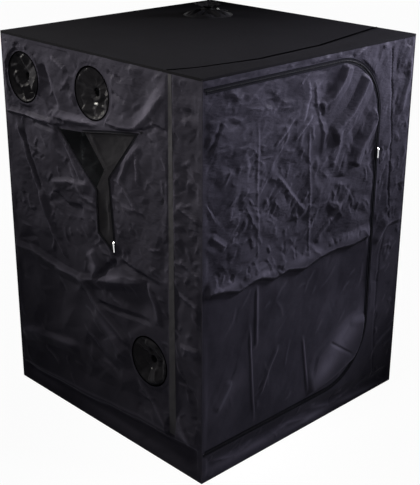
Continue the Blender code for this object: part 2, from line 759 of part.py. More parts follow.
def pull_tab(name, place, parent):
    """A flat pull with a window round the bridge; its origin is the rail under the bridge."""
    wide = TAB_WIDTH / 2
    foot = TAB_RAIL / 2 - TAB_LENGTH
    rail = TAB_RAIL / 2
    outline = [
        (-wide + TAB_CORNER, rail),
        (-wide, rail - TAB_CORNER),
        (-wide, -TAB_WINDOW),
        (-wide * 3 / 4, -TAB_WINDOW * 3 / 2),
        (-wide * 3 / 4, foot + wide),
        (-wide / 2, foot + wide / 4),
        (0, foot),
        (wide / 2, foot + wide / 4),
        (wide * 3 / 4, foot + wide),
        (wide * 3 / 4, -TAB_WINDOW * 3 / 2),
        (wide, -TAB_WINDOW),
        (wide, rail - TAB_CORNER),
        (wide - TAB_CORNER, rail),
    ]
    half = TAB_THICKNESS / 2
    item = mesh_object(name, extruded(outline, -half, half), "bright_metal", place, parent)
    opening = wide - TAB_RAIL
    window = block((-opening, -rail - TAB_WINDOW, -half - OVERRUN), (opening, -rail, half + OVERRUN))
    cut = cutter(window, place)
    cut.parent = parent
    cut.matrix_local = place
    boolean(item, cut, "DIFFERENCE")


def side_port_places():
    """The port centres on the left wall."""
    x = -HALF_WIDTH
    return {
        "rear": Vector((x, HALF_DEPTH - REAR_PORT_BACK, TENT_HEIGHT - REAR_PORT_DROP)),
        "middle": Vector((x, HALF_DEPTH - MIDDLE_PORT_BACK, TENT_HEIGHT - MIDDLE_PORT_DROP)),
        "low": Vector((x, LOW_PORT_FRONT - HALF_DEPTH, LOW_PORT_HEIGHT)),
    }


def roof_port_place():
    return Vector((HALF_WIDTH - ROOF_PORT_RIGHT, HALF_DEPTH - ROOF_PORT_BACK, TENT_HEIGHT))


def sleeve_stations():
    """The gathered sleeve's profile: radius, height, radial pleat and height pleat."""
    neck_low = NECK_HEIGHT - NECK_BAND / 2
    neck_high = NECK_HEIGHT + NECK_BAND / 2
    rows = [(PORT_RADIUS + SLEEVE_FLANGE, 0, 0, 0)]
    for radius, height, pleat in FUNNEL_SHARES:
        rows.append((radius * PORT_RADIUS, height * neck_low, 0, pleat * PLEAT_DEPTH))
    rows.append((NECK_RADIUS, neck_low, NECK_PLEAT, 0))
    rows.append((NECK_RADIUS, neck_high, NECK_PLEAT, 0))
    for radius, height, pleat in RUFFLE_SHARES:
        wave = pleat * PLEAT_DEPTH
        rows.append((radius * PORT_RADIUS, neck_high + height * RUFFLE_HEIGHT, wave / 2, wave))
    return rows


def duct_sleeve(name, place):
    """A round sleeve gathered into pleats and drawn in at its neck, with a ruffle beyond it."""
    shape = bmesh.new()
    count = PLEATS * STEPS_PER_PLEAT
    rings = []
    for radius, height, radial, rise in sleeve_stations():
        ring = []
        for step in range(count):
            angle = tau * step / count
            wave = cos(PLEATS * angle)
            out = radius + radial * wave
            lift = height + rise * (1 + wave) / 2
            ring.append(shape.verts.new((out * cos(angle), out * sin(angle), lift)))
        rings.append(ring)
    for outer, inner in zip(rings, rings[1:]):
        for step in range(count):
            after = (step + 1) % count
            shape.faces.new((outer[step], outer[after], inner[after], inner[step]))
    shape.normal_update()
    item = mesh_object(name, shape, "cover_cloth", place, sharp_deg=60)
    thicken(item, SLEEVE_CLOTH, 1)


def cord_points():
    """One loop: round the neck, then as two strands through the lock and back in a bight."""
    circle_radius = NECK_RADIUS + NECK_PLEAT + SLEEVE_CLOTH + CORD_RADIUS + 2 * SEAT_GAP
    strand = CORD_PITCH / 2
    mouth = LOCK_PLACE - LOCK_RADIUS - CORD_DIAMETER
    # The strand leaves the circle on the tangent that reaches the lock's mouth
    reach = hypot(mouth, strand)
    leave = pi / 2 - atan2(circle_radius, sqrt(reach**2 - circle_radius**2)) + atan2(strand, mouth)
    points = []
    for step in range(CORD_NECK_POINTS + 1):
        angle = leave + (tau - 2 * leave) * step / CORD_NECK_POINTS
        points.append((circle_radius * cos(angle), circle_radius * sin(angle), 0))
    end = LOCK_PLACE + LOCK_TRAVEL + LOCK_RADIUS + CORD_TAIL
    bight = [(mouth, -strand, 0), (LOCK_PLACE, -strand, 0), (end - CORD_TAIL, -strand, 0)]
    for step in range(1, 4):
        angle = -pi / 2 + pi * step / 4
        bulge = strand + CORD_RADIUS / 2
        bight.append((end - strand + strand * cos(angle), bulge * sin(angle), 0))
    bight += [(end - CORD_TAIL, strand, 0), (LOCK_PLACE, strand, 0), (mouth, strand, 0)]
    return points + bight


def drawcord(name, place):
    spline_data = bpy.data.curves.new(name, "CURVE")
    spline_data.dimensions = "3D"
    spline_data.bevel_depth = CORD_RADIUS
    spline_data.bevel_resolution = 1
    spline_data.use_fill_caps = True
    spline = spline_data.splines.new("POLY")
    points = cord_points()
    spline.points.add(len(points) - 1)
    for point, spot in zip(spline.points, points):
        point.co = (*spot, 1)
    spline.use_cyclic_u = True
    place_object(name, spline_data, "cord_braid", place)


def cord_lock(name, place):
    """A barrel with a cross slot for the two strands, and its sprung button."""
    strands = (CORD_PITCH + CORD_DIAMETER) / 2 + LOCK_FIT
    slot = CORD_RADIUS + LOCK_FIT
    foot = -strands - BUTTON_WEB
    floor = foot - BUTTON_TRAVEL - LOCK_FIT
    base = floor - LOCK_FLOOR
    rim = strands + BUTTON_TRAVEL + LOCK_RIM
    barrel = [
        (0, base),
        (LOCK_RADIUS - LOCK_BEVEL, base),
        (LOCK_RADIUS, base + LOCK_BEVEL),
        (LOCK_RADIUS, rim - LOCK_BEVEL),
        (LOCK_RADIUS - LOCK_BEVEL, rim),
        (LOCK_BORE, rim),
        (LOCK_BORE, floor),
        (0, floor),
    ]
    lay = Matrix.Rotation(-pi / 2, 4, "X")
    centre = place @ Matrix.Translation((LOCK_PLACE, 0, 0)) @ lay
    lock = mesh_object(name, turned(barrel, LOCK_SIDES), "grey_plastic", centre)
    through = LOCK_RADIUS + OVERRUN
    passage = block((-through, -slot, -strands), (through, slot, strands))
    boolean(lock, cutter(passage, centre), "DIFFERENCE")

    stem = LOCK_BORE - LOCK_FIT
    head = rim + BUTTON_TRAVEL + LOCK_FIT
    wide = stem + BUTTON_HEAD_LIP
    button = [
        (0, foot),
        (stem, foot),
        (stem, head),
        (wide, head),
        (wide, head + BUTTON_HEAD - LOCK_BEVEL),
        (wide - LOCK_BEVEL, head + BUTTON_HEAD),
        (0, head + BUTTON_HEAD),
    ]
    knob = mesh_object(f"{name}_button", turned(button, LOCK_SIDES), "grey_plastic", Matrix(), lock)
    long_slot = block((-through, -slot, -strands), (through, slot, strands + BUTTON_TRAVEL))
    boolean(knob, cutter(long_slot, centre), "DIFFERENCE")


def build_sleeves():
    """Four gathered sleeves: one stands on the roof, three are pushed in through the left wall."""
    inner_face = -HALF_WIDTH + CLOTH + SEAT_GAP
    turn_in = Matrix(((0, 0, 1, 0), (0, 1, 0, 0), (-1, 0, 0, 0), (0, 0, 0, 1)))
    places = {}
    for name, spot in side_port_places().items():
        places[name] = Matrix.Translation((inner_face, spot.y, spot.z)) @ turn_in
    spot = roof_port_place()
    above = Matrix.Translation((spot.x, spot.y, TENT_HEIGHT + SEAT_GAP))
    places["roof"] = above @ Matrix.Rotation(radians(ROOF_CORD_TURN_DEG), 4, "Z")
    for name, place in places.items():
        duct_sleeve(f"{name}_sleeve", place)
        slope = Matrix.Rotation(radians(CORD_SLOPE_DEG), 4, "Y")
        loop_place = place @ Matrix.Translation((0, 0, NECK_HEIGHT)) @ slope
        drawcord(f"{name}_drawcord", loop_place)
        cord_lock(f"{name}_cord_lock", loop_place)


def build_tray():
    """The lift-out floor tray: a shallow open box with flared sides."""
    margin = FRAME_INSET + KNUCKLE_HALF + TRAY_MARGIN
    half_x = HALF_WIDTH - margin
    half_y = HALF_DEPTH - margin
    shape = block((-half_x, -half_y, 0), (half_x, half_y, TRAY_HEIGHT))
    foot = [v for v in shape.verts if v.co.z < TRAY_HEIGHT / 2]
    for vert in foot:
        vert.co.x -= TRAY_FLARE if vert.co.x > 0 else -TRAY_FLARE
        vert.co.y -= TRAY_FLARE if vert.co.y > 0 else -TRAY_FLARE
    top = [f for f in shape.faces if f.normal.z > 1 / 2]
    bmesh.ops.inset_region(shape, faces=top, thickness=TRAY_WALL)
    for vert in top[0].verts:
        vert.co.z = TRAY_WALL
        vert.co.x -= TRAY_FLARE if vert.co.x > 0 else -TRAY_FLARE
        vert.co.y -= TRAY_FLARE if vert.co.y > 0 else -TRAY_FLARE
    mesh_object("floor_tray", shape, "floor_cloth", Matrix.Translation((0, 0, CLOTH + SEAT_GAP)))


def clear_scene():
    for item in list(bpy.data.objects):
        bpy.data.objects.remove(item, do_unlink=True)


def build_tent():
    clear_scene()
    build_frame()
    build_walls()
    build_door()
    build_access_slit()
    build_sleeves()
    build_tray()


build_tent()
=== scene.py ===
"""Looks of the indoor grow tent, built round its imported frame.

The cover is cloth: every wall, the roof, the door, the flap, the sleeves and the floor are
fine sheets with the folds, storage creases and crushed facets of a coated cloth that was
packed away folded. Tubes, connectors, cord locks and zip sliders are the frame's own solids,
dressed with fuller finishes.
"""

from __future__ import annotations

import logging
from dataclasses import dataclass, field
from enum import Enum
from functools import cache
from math import atan2, cos, hypot, pi, radians, sin, sqrt, tau

import bpy
import numpy as np
from mathutils import Matrix, Vector
from mathutils.bvhtree import BVHTree
from mathutils.geometry import delaunay_2d_cdt

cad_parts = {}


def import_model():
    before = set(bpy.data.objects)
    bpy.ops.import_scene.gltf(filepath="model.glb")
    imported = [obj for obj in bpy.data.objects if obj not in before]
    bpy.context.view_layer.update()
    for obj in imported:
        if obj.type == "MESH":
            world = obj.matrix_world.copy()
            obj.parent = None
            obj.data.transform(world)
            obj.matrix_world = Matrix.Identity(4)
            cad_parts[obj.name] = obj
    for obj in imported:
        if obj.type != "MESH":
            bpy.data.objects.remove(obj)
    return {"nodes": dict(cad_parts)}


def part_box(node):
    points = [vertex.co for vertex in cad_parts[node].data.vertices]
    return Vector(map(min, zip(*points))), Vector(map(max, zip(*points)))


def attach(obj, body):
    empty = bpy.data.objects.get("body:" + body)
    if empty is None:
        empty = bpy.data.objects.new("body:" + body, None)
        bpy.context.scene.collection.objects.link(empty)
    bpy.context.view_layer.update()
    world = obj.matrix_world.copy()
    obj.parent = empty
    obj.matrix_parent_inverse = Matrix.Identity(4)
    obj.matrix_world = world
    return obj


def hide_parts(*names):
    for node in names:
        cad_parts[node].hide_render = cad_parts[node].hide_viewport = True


log = logging.getLogger("grow_tent")

Point = tuple[float, float]
Colour = tuple[float, float, float]
COVER_BODY = "cover_and_frame"

# Points and heights closer than this count as the same
SAME_PLACE = 1e-6
# Blender's wave texture multiplies its scale by this
WAVE_FACTOR = 20


class Side(Enum):
    """A wall of the tent as its right, up and outward directions, seen from outside."""

    FRONT = ((1, 0, 0), (0, 0, 1), (0, -1, 0))
    BACK = ((-1, 0, 0), (0, 0, 1), (0, 1, 0))
    LEFT = ((0, -1, 0), (0, 0, 1), (-1, 0, 0))
    RIGHT = ((0, 1, 0), (0, 0, 1), (1, 0, 0))
    ROOF = ((1, 0, 0), (0, 1, 0), (0, 0, 1))

    def place(self) -> Matrix:
        """Return the matrix from the wall's own metres to the tent's."""
        across, up, out = (Vector(v) for v in self.value)
        low, high = tent_box()
        reach = high if sum(self.value[2]) > 0 else -low
        origin = out * abs(out.dot(reach))
        place = Matrix.Identity(4)
        for column, axis in enumerate((across, up, out, origin)):
            for row in range(3):
                place[row][column] = axis[row]
        return place

    def reach(self) -> tuple[np.ndarray, np.ndarray]:
        """Return the wall's lowest and highest corners in its own metres."""
        low, high = tent_box()
        if self is Side.ROOF:
            return np.array((low.x, low.y)), np.array((high.x, high.y))
        half = high.x if self in (Side.FRONT, Side.BACK) else high.y
        return np.array((-half, low.z)), np.array((half, high.z))


def tent_box() -> tuple[Vector, Vector]:
    """Return the lowest and highest corners of the cover, without sleeves and sliders."""
    floor_low, floor_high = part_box("floor_sheet")
    return floor_low, Vector((floor_high.x, floor_high.y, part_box("roof_panel")[1].z))


def rectangle(left: float, bottom: float, right: float, top: float) -> np.ndarray:
    """Return a rectangle as a loop of corners."""
    return np.array([(left, bottom), (right, bottom), (right, top), (left, top)])


def circle(centre: Point, radius: float, steps: int = 72) -> np.ndarray:
    """Return a circle as a loop of points."""
    angles = np.arange(steps) * tau / steps
    return np.stack((centre[0] + radius * np.cos(angles), centre[1] + radius * np.sin(angles)), 1)


def resampled(loop: np.ndarray, spacing: float) -> np.ndarray:
    """Return a closed loop with extra points along its long sides."""
    points = []
    for start, end in zip(loop, np.roll(loop, -1, 0)):
        count = max(1, round(float(np.linalg.norm(end - start)) / spacing))
        points += [start + (end - start) * step / count for step in range(count)]
    return np.array(points)


def inside(points: np.ndarray, loop: np.ndarray) -> np.ndarray:
    """Return which points lie in a closed loop."""
    result = np.zeros(len(points), bool)
    x, y = points[:, 0], points[:, 1]
    for (ax, ay), (bx, by) in zip(loop, np.roll(loop, -1, 0)):
        if ay == by:
            continue
        spans = (ay > y) != (by > y)
        result ^= spans & (x < ax + (y - ay) * (bx - ax) / (by - ay))
    return result


def nearest_on_route(points: np.ndarray, route: np.ndarray) -> tuple[np.ndarray, np.ndarray]:
    """Measure points against an open route.

    Args:
        points: places to measure.
        route: the corners of the route, in order.

    Returns:
        The distance to the route, positive on its left, and the share of its length there.
    """
    runs = np.linalg.norm(np.diff(route, axis=0), axis=1)
    marks = np.concatenate(([0], np.cumsum(runs)))
    best = np.full(len(points), np.inf)
    signed = np.zeros(len(points))
    along = np.zeros(len(points))
    for index, (start, end) in enumerate(zip(route, route[1:])):
        run = end - start
        share = np.clip((points - start) @ run / (run @ run), 0, 1)
        gap = points - (start + share[:, None] * run)
        length = np.linalg.norm(gap, axis=1)
        closer = length < best
        turn = run[0] * gap[:, 1] - run[1] * gap[:, 0]
        best = np.where(closer, length, best)
        signed = np.where(closer, np.where(turn < 0, -length, length), signed)
        along = np.where(closer, (marks[index] + share * runs[index]) / marks[-1], along)
    return signed, along


def loop_distance(points: np.ndarray, loop: np.ndarray) -> np.ndarray:
    """Return the distance from points to a closed loop's line."""
    signed, _ = nearest_on_route(points, np.vstack((loop, loop[:1])))
    return np.abs(signed)


def smooth_step(value: np.ndarray) -> np.ndarray:
    """Return a smooth rise from 0 to 1."""
    share = np.clip(value, 0, 1)
    return share * share * (3 - 2 * share)


def patches(points: np.ndarray, waves: tuple[Point, Point], starts: Point) -> np.ndarray:
    """Return soft patches between -1 and 1, two crossing waves multiplied."""
    first, second = (np.sin(points @ np.array(wave) + start) for wave, start in zip(waves, starts))
    return first * second


def to_tent(local: np.ndarray, place: Matrix) -> np.ndarray:
    """Return points moved from a piece's own metres to the tent's."""
    return (np.column_stack((local, np.ones(len(local)))) @ np.array(place).T)[:, :3]


def faces_between(rows: int, count: int) -> list[tuple[int, ...]]:
    """Return the faces between closed rows of points that follow each other."""
    faces = []
    for low in range(0, (rows - 1) * count, count):
        for k in range(count):
            after = (k + 1) % count
            faces.append((low + k, low + after, low + count + after, low + count + k))
    return faces


@dataclass(frozen=True)
class Crease:
    """A fold line: its route on the wall, how far it stands out, and the width of its flanks.

    A flank on the left of the route's direction has the width left, the other the width right.
    A fold that isn't soft has straight flanks, which end at the reach share of their width.
    """

    route: tuple[Point, ...]
    height: float
    left: float
    right: float
    taper: float = 0.16
    soft: bool = False
    reach_share: float = 1.8

    def heights(self, points: np.ndarray) -> np.ndarray:
        """Return how far the fold lifts each point."""
        signed, along = nearest_on_route(points, np.array(self.route))
        width = np.where(signed > 0, self.left, self.right)
        away = np.abs(signed) / width
        profile = np.exp(-(away**2)) if self.soft else np.maximum(0, 1 - away / self.reach_share)
        ends = smooth_step(along / self.taper) * smooth_step((1 - along) / self.taper)
        return self.height * profile * ends

    def crest(self, points: np.ndarray, width: float, most: float) -> np.ndarray:
        """Return the lighter colour on the fold's crest, at most this much: rubbed wear and painted
        highlight.
        """
        signed, along = nearest_on_route(points, np.array(self.route))
        return most * np.exp(-((signed / width) ** 2)) * (4 * along * (1 - along)) ** 0.5


@dataclass(frozen=True)
class Slack:
    """A soft bulge, or a hollow where its height is negative."""

    centre: Point
    size: Point
    height: float
    turn: float = 0.0

    def heights(self, points: np.ndarray) -> np.ndarray:
        """Return how far the bulge lifts each point."""
        shifted = points - np.array(self.centre)
        across = shifted @ np.array((cos(self.turn), sin(self.turn))) / self.size[0]
        along = shifted @ np.array((-sin(self.turn), cos(self.turn))) / self.size[1]
        return self.height * np.exp(-(across**2 + along**2))


@dataclass(frozen=True)
class Crush:
    """Random flat facets with straight creases between them, as crushed cloth keeps.

    The facets are stretched along a direction, and lie between two heights of the wall.
    """

    cell: float
    height: float
    seed: int
    stretch: float = 1.0
    turn: float = 0.0
    bottom: float = -9.0
    top: float = 9.0
    fade: float = 0.06
    jitter_share: float = 0.42
    spare_cells: int = 2
    patch_waves: tuple[Point, Point] = ((17.0, 11.0), (-9.0, 21.0))
    patch_shares: Point = (0.85, 0.55)

    def heights(self, points: np.ndarray) -> np.ndarray:
        """Return how far the facets lift each point."""
        tree = self.facets()
        # The facets lie between -1 and 1
        above, down = 2, Vector((0, 0, -1))
        hits = [tree.ray_cast(Vector((x, y, above)), down)[0] for x, y in self.unturned(points)]
        lift = np.array([hit.z if hit else 0 for hit in hits])
        band = smooth_step((points[:, 1] - self.bottom) / self.fade)
        band *= smooth_step((self.top - points[:, 1]) / self.fade)
        # Some patches are crushed more than others
        starts = np.random.default_rng(self.seed).uniform(0, tau, 2)
        mean, swing = self.patch_shares
        patchy = mean + swing * patches(points, self.patch_waves, starts)
        return self.height * lift * band * patchy

    def unturned(self, points: np.ndarray) -> np.ndarray:
        """Return points in cells, along and across the facets' direction."""
        turned = np.array(((cos(self.turn), -sin(self.turn)), (sin(self.turn), cos(self.turn))))
        return points @ turned / (self.cell * np.array((self.stretch, 1)))

    @cache
    def facets(self) -> BVHTree:
        """Return the facets over the largest wall, the same for every sheet that lies on it."""
        chance = np.random.default_rng(self.seed)
        box_low, box_high = tent_box()
        flat = self.unturned(rectangle(box_low.x, box_low.x, box_high.x, box_high.z))
        low = np.floor(flat.min(0)) - self.spare_cells
        columns, rows = (np.ceil(flat.max(0)) + self.spare_cells - low).astype(int)
        grid = np.stack(np.meshgrid(np.arange(columns), np.arange(rows)), -1).reshape(-1, 2)
        seeds = low + grid + chance.uniform(-self.jitter_share, self.jitter_share, grid.shape)
        lifts = chance.uniform(-1, 1, len(seeds))
        flat_seeds = [Vector(seed) for seed in seeds]
        places, _, faces = delaunay_2d_cdt(flat_seeds, [], [], 0, SAME_PLACE)[:3]
        peaks = [(p.x, p.y, lift) for p, lift in zip(places, lifts)]
        return BVHTree.FromPolygons(peaks, [tuple(face) for face in faces])


@dataclass(frozen=True)
class Wrinkles:
    """Many short creases over a part of the wall, mostly along one direction."""

    count: int
    seed: int
    low: Point
    high: Point
    turn: float
    scatter: float
    height: float
    length: Point = (0.04, 0.13)
    flank: Point = (0.005, 0.013)
    bend: float = 0.5
    least_share: float = 0.4
    outward_share: float = 0.75
    taper: float = 0.3

    @cache
    def creases(self) -> tuple[Crease, ...]:
        """Return the creases, each bent once, most of them standing out."""
        chance = np.random.default_rng(self.seed)
        made = []
        for _ in range(self.count):
            start = Vector(chance.uniform(self.low, self.high))
            turn = self.turn + chance.normal() * self.scatter
            bend = chance.uniform(-self.bend, self.bend)
            length = chance.uniform(*self.length) / 2
            middle = start + length * Vector((cos(turn), sin(turn)))
            end = middle + length * Vector((cos(turn + bend), sin(turn + bend)))
            height = self.height * chance.uniform(self.least_share, 1.0)
            height *= 1 if chance.random() < self.outward_share else -1
            left, right = chance.uniform(*self.flank, 2)
            route = tuple(tuple(point) for point in (start, middle, end))
            made.append(Crease(route, height, float(left), float(right), taper=self.taper))
        return tuple(made)


@dataclass(frozen=True)
class Relief:
    """The folds, bulges and facets of one sheet, held flat where it is sewn down.

    Ironed places have weaker facets, and lightened places take the cloth's lighter colour as a
    painted highlight. The tubes stand behind the wall's border, so folds are kept shallower there.
    """

    creases: tuple[Crease, ...] = ()
    slacks: tuple[Slack, ...] = ()
    wrinkles: tuple[Wrinkles, ...] = ()
    crushes: tuple[Crush, ...] = ()
    ironed: tuple[Slack, ...] = ()
    lightened: tuple[Slack, ...] = ()
    fold: float = 1.5
    edge_flat: float = 0.003
    edge_ramp: float = 0.030
    deepest: float = 0.024
    highest: float = 0.021
    calm_ramp: float = 0.014
    border_steps: tuple[float, ...] = (0.0, 0.028, 0.07)
    border_depths: Point = (0.0008, 0.0015)

    def small_creases(self) -> list[Crease]:
        """Return the creases of all its wrinkles."""
        return [crease for some in self.wrinkles for crease in some.creases()]

    def heights(
        self,
        points: np.ndarray,
        edges: np.ndarray,
        calm: np.ndarray,
        border: np.ndarray,
    ) -> np.ndarray:
        """Return how far out each point lies.

        Args:
            points: places on the wall.
            edges: each point's distance from the sheet's sewn edge.
            calm: each point's distance outside the places that are kept flat.
            border: each point's distance from the wall's border.

        Returns:
            The heights, outwards positive.
        """
        total = np.zeros(len(points))
        for feature in (*self.creases, *self.slacks):
            total += self.fold * feature.heights(points)
        crushed = np.ones(len(points))
        for place in self.ironed:
            crushed *= 1 - place.heights(points)
        for feature in (*self.crushes, *self.small_creases()):
            total += crushed * feature.heights(points)
        held = smooth_step((edges - self.edge_flat) / self.edge_ramp)
        held *= smooth_step(calm / self.calm_ramp)
        total *= held
        deepest = np.interp(border, self.border_steps, (*self.border_depths, self.deepest))
        # Deep folds level off softly instead of being cut flat
        limit = np.where(total < 0, deepest, max(self.highest, SAME_PLACE))
        return limit * np.tanh(total / limit)


class Shader:
    """The node tree of one finish, while it is wired up."""

    def __init__(self, name: str, colour: Colour, roughness: float, metallic: float = 0.0) -> None:
        """Make the material with its plain values."""
        self.material = bpy.data.materials.new(name)
        self.material.use_nodes = True
        self.nodes = self.material.node_tree.nodes
        self.links = self.material.node_tree.links
        self.surface = self.nodes["Principled BSDF"]
        self.surface.inputs["Base Color"].default_value = (*colour, 1)
        self.surface.inputs["Roughness"].default_value = roughness
        self.surface.inputs["Metallic"].default_value = metallic
        self.material.diffuse_color = (*colour, 1)
        self.places = self.nodes.new("ShaderNodeTexCoord")

    def add(self, kind: str, **values: object) -> bpy.types.Node:
        """Add a node; names that match a socket set it, the others are its settings."""
        node = self.nodes.new(f"ShaderNode{kind}")
        for name, value in values.items():
            socket = node.inputs.get(name.replace("_", " ").title())
            if socket is not None and not hasattr(node, name):
                socket.default_value = value
            else:
                setattr(node, name, value)
        return node

    def join(self, source: bpy.types.NodeSocket, target: bpy.types.NodeSocket) -> None:
        """Link two sockets."""
        self.links.new(source, target)

    def noise(self, scale: float, detail: float = 2.0) -> bpy.types.NodeSocket:
        """Return a noise on the piece's own place."""
        node = self.add("TexNoise", scale=scale, detail=detail)
        self.join(self.places.outputs["Object"], node.inputs["Vector"])
        return node.outputs["Fac"]

    def cells(self, size: float, stretch: float, turn: float) -> bpy.types.NodeSocket:
        """Return the distance to the edges of random cells along the cloth.

        Args:
            size: the cells' size across, in metres.
            stretch: how many times longer they are.
            turn: the direction of their length, in radians.

        Returns:
            The distance, which is creased along the edges and in the middle of each cell.
        """
        warp_scale, warp_reach = 0.4, 1.6
        flat = self.add("Mapping", vector_type="TEXTURE")
        flat.inputs["Rotation"].default_value = (0, 0, turn)
        flat.inputs["Scale"].default_value = (size * stretch, size, 1)
        self.join(self.places.outputs["UV"], flat.inputs["Vector"])
        warp = self.add("TexNoise", scale=warp_scale, detail=2.0)
        self.join(flat.outputs["Vector"], warp.inputs["Vector"])
        mix = self.add("VectorMath", operation="MULTIPLY_ADD")
        mix.inputs[1].default_value = (warp_reach, warp_reach, 0)
        self.join(warp.outputs["Color"], mix.inputs[0])
        self.join(flat.outputs["Vector"], mix.inputs[2])
        node = self.add("TexVoronoi", voronoi_dimensions="2D", feature="DISTANCE_TO_EDGE", scale=1.0)
        self.join(mix.outputs["Vector"], node.inputs["Vector"])
        return node.outputs["Distance"]

    def weave(self, pitch: float) -> bpy.types.NodeSocket:
        """Return warp and weft of a plain weave along the piece's own UV map."""
        scale = tau / (WAVE_FACTOR * pitch)
        waves = []
        for direction in ("X", "Y"):
            wave = self.add("TexWave", wave_type="BANDS", bands_direction=direction, scale=scale)
            self.join(self.places.outputs["UV"], wave.inputs["Vector"])
            waves.append(wave.outputs["Fac"])
        product = self.add("Math", operation="MAXIMUM")
        self.join(waves[0], product.inputs[0])
        self.join(waves[1], product.inputs[1])
        return product.outputs["Value"]

    def scaled(self, value: bpy.types.NodeSocket, factor: object) -> bpy.types.NodeSocket:
        """Return a value times a number or times another value."""
        node = self.add("Math", operation="MULTIPLY")
        self.join(value, node.inputs[0])
        if isinstance(factor, bpy.types.NodeSocket):
            self.join(factor, node.inputs[1])
        else:
            node.inputs[1].default_value = factor
        return node.outputs["Value"]

    def bump(self, height: bpy.types.NodeSocket, distance: float) -> None:
        """Add a bump over the ones already there."""
        node = self.add("Bump", strength=1.0, distance=distance)
        self.join(height, node.inputs["Height"])
        before = self.surface.inputs["Normal"].links
        if before:
            self.join(before[0].from_socket, node.inputs["Normal"])
        self.join(node.outputs["Normal"], self.surface.inputs["Normal"])

    def tint(self, share: bpy.types.NodeSocket, low: Colour, high: Colour, ends: Point) -> None:
        """Colour the surface between two colours, as a value goes from one end to the other."""
        ramp = self.add("ValToRGB")
        for element, colour, position in zip(ramp.color_ramp.elements, (low, high), ends):
            element.position = position
            element.color = (*colour, 1)
        self.join(share, ramp.inputs["Fac"])
        self.join(ramp.outputs["Color"], self.surface.inputs["Base Color"])

    def roughen(self, share: bpy.types.NodeSocket, low: float, high: float) -> None:
        """Vary the roughness between two values by a value."""
        node = self.add("MapRange")
        node.inputs["To Min"].default_value = low
        node.inputs["To Max"].default_value = high
        self.join(share, node.inputs["Value"])
        self.join(node.outputs["Result"], self.surface.inputs["Roughness"])

    def attribute(self, name: str) -> bpy.types.NodeSocket:
        """Return a value stored on the piece's points."""
        node = self.add("Attribute", attribute_name=name)
        return node.outputs["Fac"]


@dataclass(frozen=True)
class ClothFinish:
    """A coated cloth: its colour, a lighter colour for rubbed wear and painted highlights, weave and
    crinkles.

    A kind of crinkle is its cell size, how many times longer its cells are, their direction
    and its depth as a multiple of the crinkle depth. Blotches, sheen and grain are noises,
    each with its scale and detail.
    """

    name: str
    colour: Colour
    wear_and_highlight: Colour
    roughness: float = 0.43
    specular: float = 0.002
    crinkle: float = 0.0012
    pitch: float = 0.0009
    metallic: float = 0.0
    wear_and_highlight_share: float = 0.65
    blotches: Point = (5.0, 4.0)
    blotch_share: float = 0.5
    sheen: Point = (11.0, 3.0)
    tint_ends: Point = (0.15, 1.0)
    roughness_ends: Point = (-0.06, 0.08)
    crinkles: tuple[tuple[float, ...], ...] = ((0.044, 1.8, 0.6, 2.4), (0.018, 2.8, -0.15, 1.2))
    grain: Point = (90.0, 3.0)
    grain_share: float = 0.2
    thread: float = 0.00006

    def material(self) -> bpy.types.Material:
        """Return the material, made the first time it is asked for."""
        found = bpy.data.materials.get(self.name)
        if found:
            return found
        shader = Shader(self.name, self.colour, self.roughness, self.metallic)
        shader.surface.inputs["Specular IOR Level"].default_value = self.specular
        # The lighter colour follows the stored value (rubbed wear and painted highlight) and random blotches
        wear_and_highlight = shader.add("Math", operation="ADD")
        shader.join(shader.scaled(shader.attribute("wear_and_highlight"), self.wear_and_highlight_share), wear_and_highlight.inputs[0])
        shader.join(shader.scaled(shader.noise(*self.blotches), self.blotch_share), wear_and_highlight.inputs[1])
        shader.tint(wear_and_highlight.outputs["Value"], self.colour, self.wear_and_highlight, self.tint_ends)
        ends = (self.roughness + more for more in self.roughness_ends)
        shader.roughen(shader.noise(*self.sheen), *ends)
        crushed = shader.attribute("crushed")
        for size, stretch, turn, depth in self.crinkles:
            cells = shader.scaled(shader.cells(size, stretch, turn), crushed)
            shader.bump(cells, self.crinkle * depth)
        shader.bump(shader.noise(*self.grain), self.crinkle * self.grain_share)
        shader.bump(shader.weave(self.pitch), self.thread)
        return shader.material


@dataclass(frozen=True)
class PlainFinish:
    """A hard finish: moulded plastic, powder coat or bright metal, with grain and wear.

    Blotches and sheen are noises, each with its scale and detail.
    """

    name: str
    colour: Colour
    lightened: Colour
    roughness: float
    metallic: float = 0.0
    grain: float = 900.0
    depth: float = 0.00002
    specular: float = 0.5
    blotches: Point = (70.0, 4.0)
    tint_ends: Point = (0.45, 0.8)
    sheen: Point = (160.0, 3.0)
    roughness_shares: Point = (0.8, 1.3)

    def material(self) -> bpy.types.Material:
        """Return the material, made the first time it is asked for."""
        found = bpy.data.materials.get(self.name)
        if found:
            return found
        shader = Shader(self.name, self.colour, self.roughness, self.metallic)
        shader.surface.inputs["Specular IOR Level"].default_value = self.specular
        shader.tint(shader.noise(*self.blotches), self.colour, self.lightened, self.tint_ends)
        ends = (self.roughness * share for share in self.roughness_shares)
        shader.roughen(shader.noise(*self.sheen), *ends)
        shader.bump(shader.noise(self.grain), self.depth)
        return shader.material


# Each cloth's second colour is its lighter one, for rubbed wear and for highlights painted on crests, lit
# patches and pleats
COVER = ClothFinish("cover_cloth_finish", (0.0230, 0.0218, 0.0306), (0.078, 0.0735, 0.1010))
ROOF = ClothFinish("roof_cloth_finish", (0.0105, 0.0103, 0.0122), (0.0140, 0.0138, 0.0164), 0.6, 0.0, 0.0003)
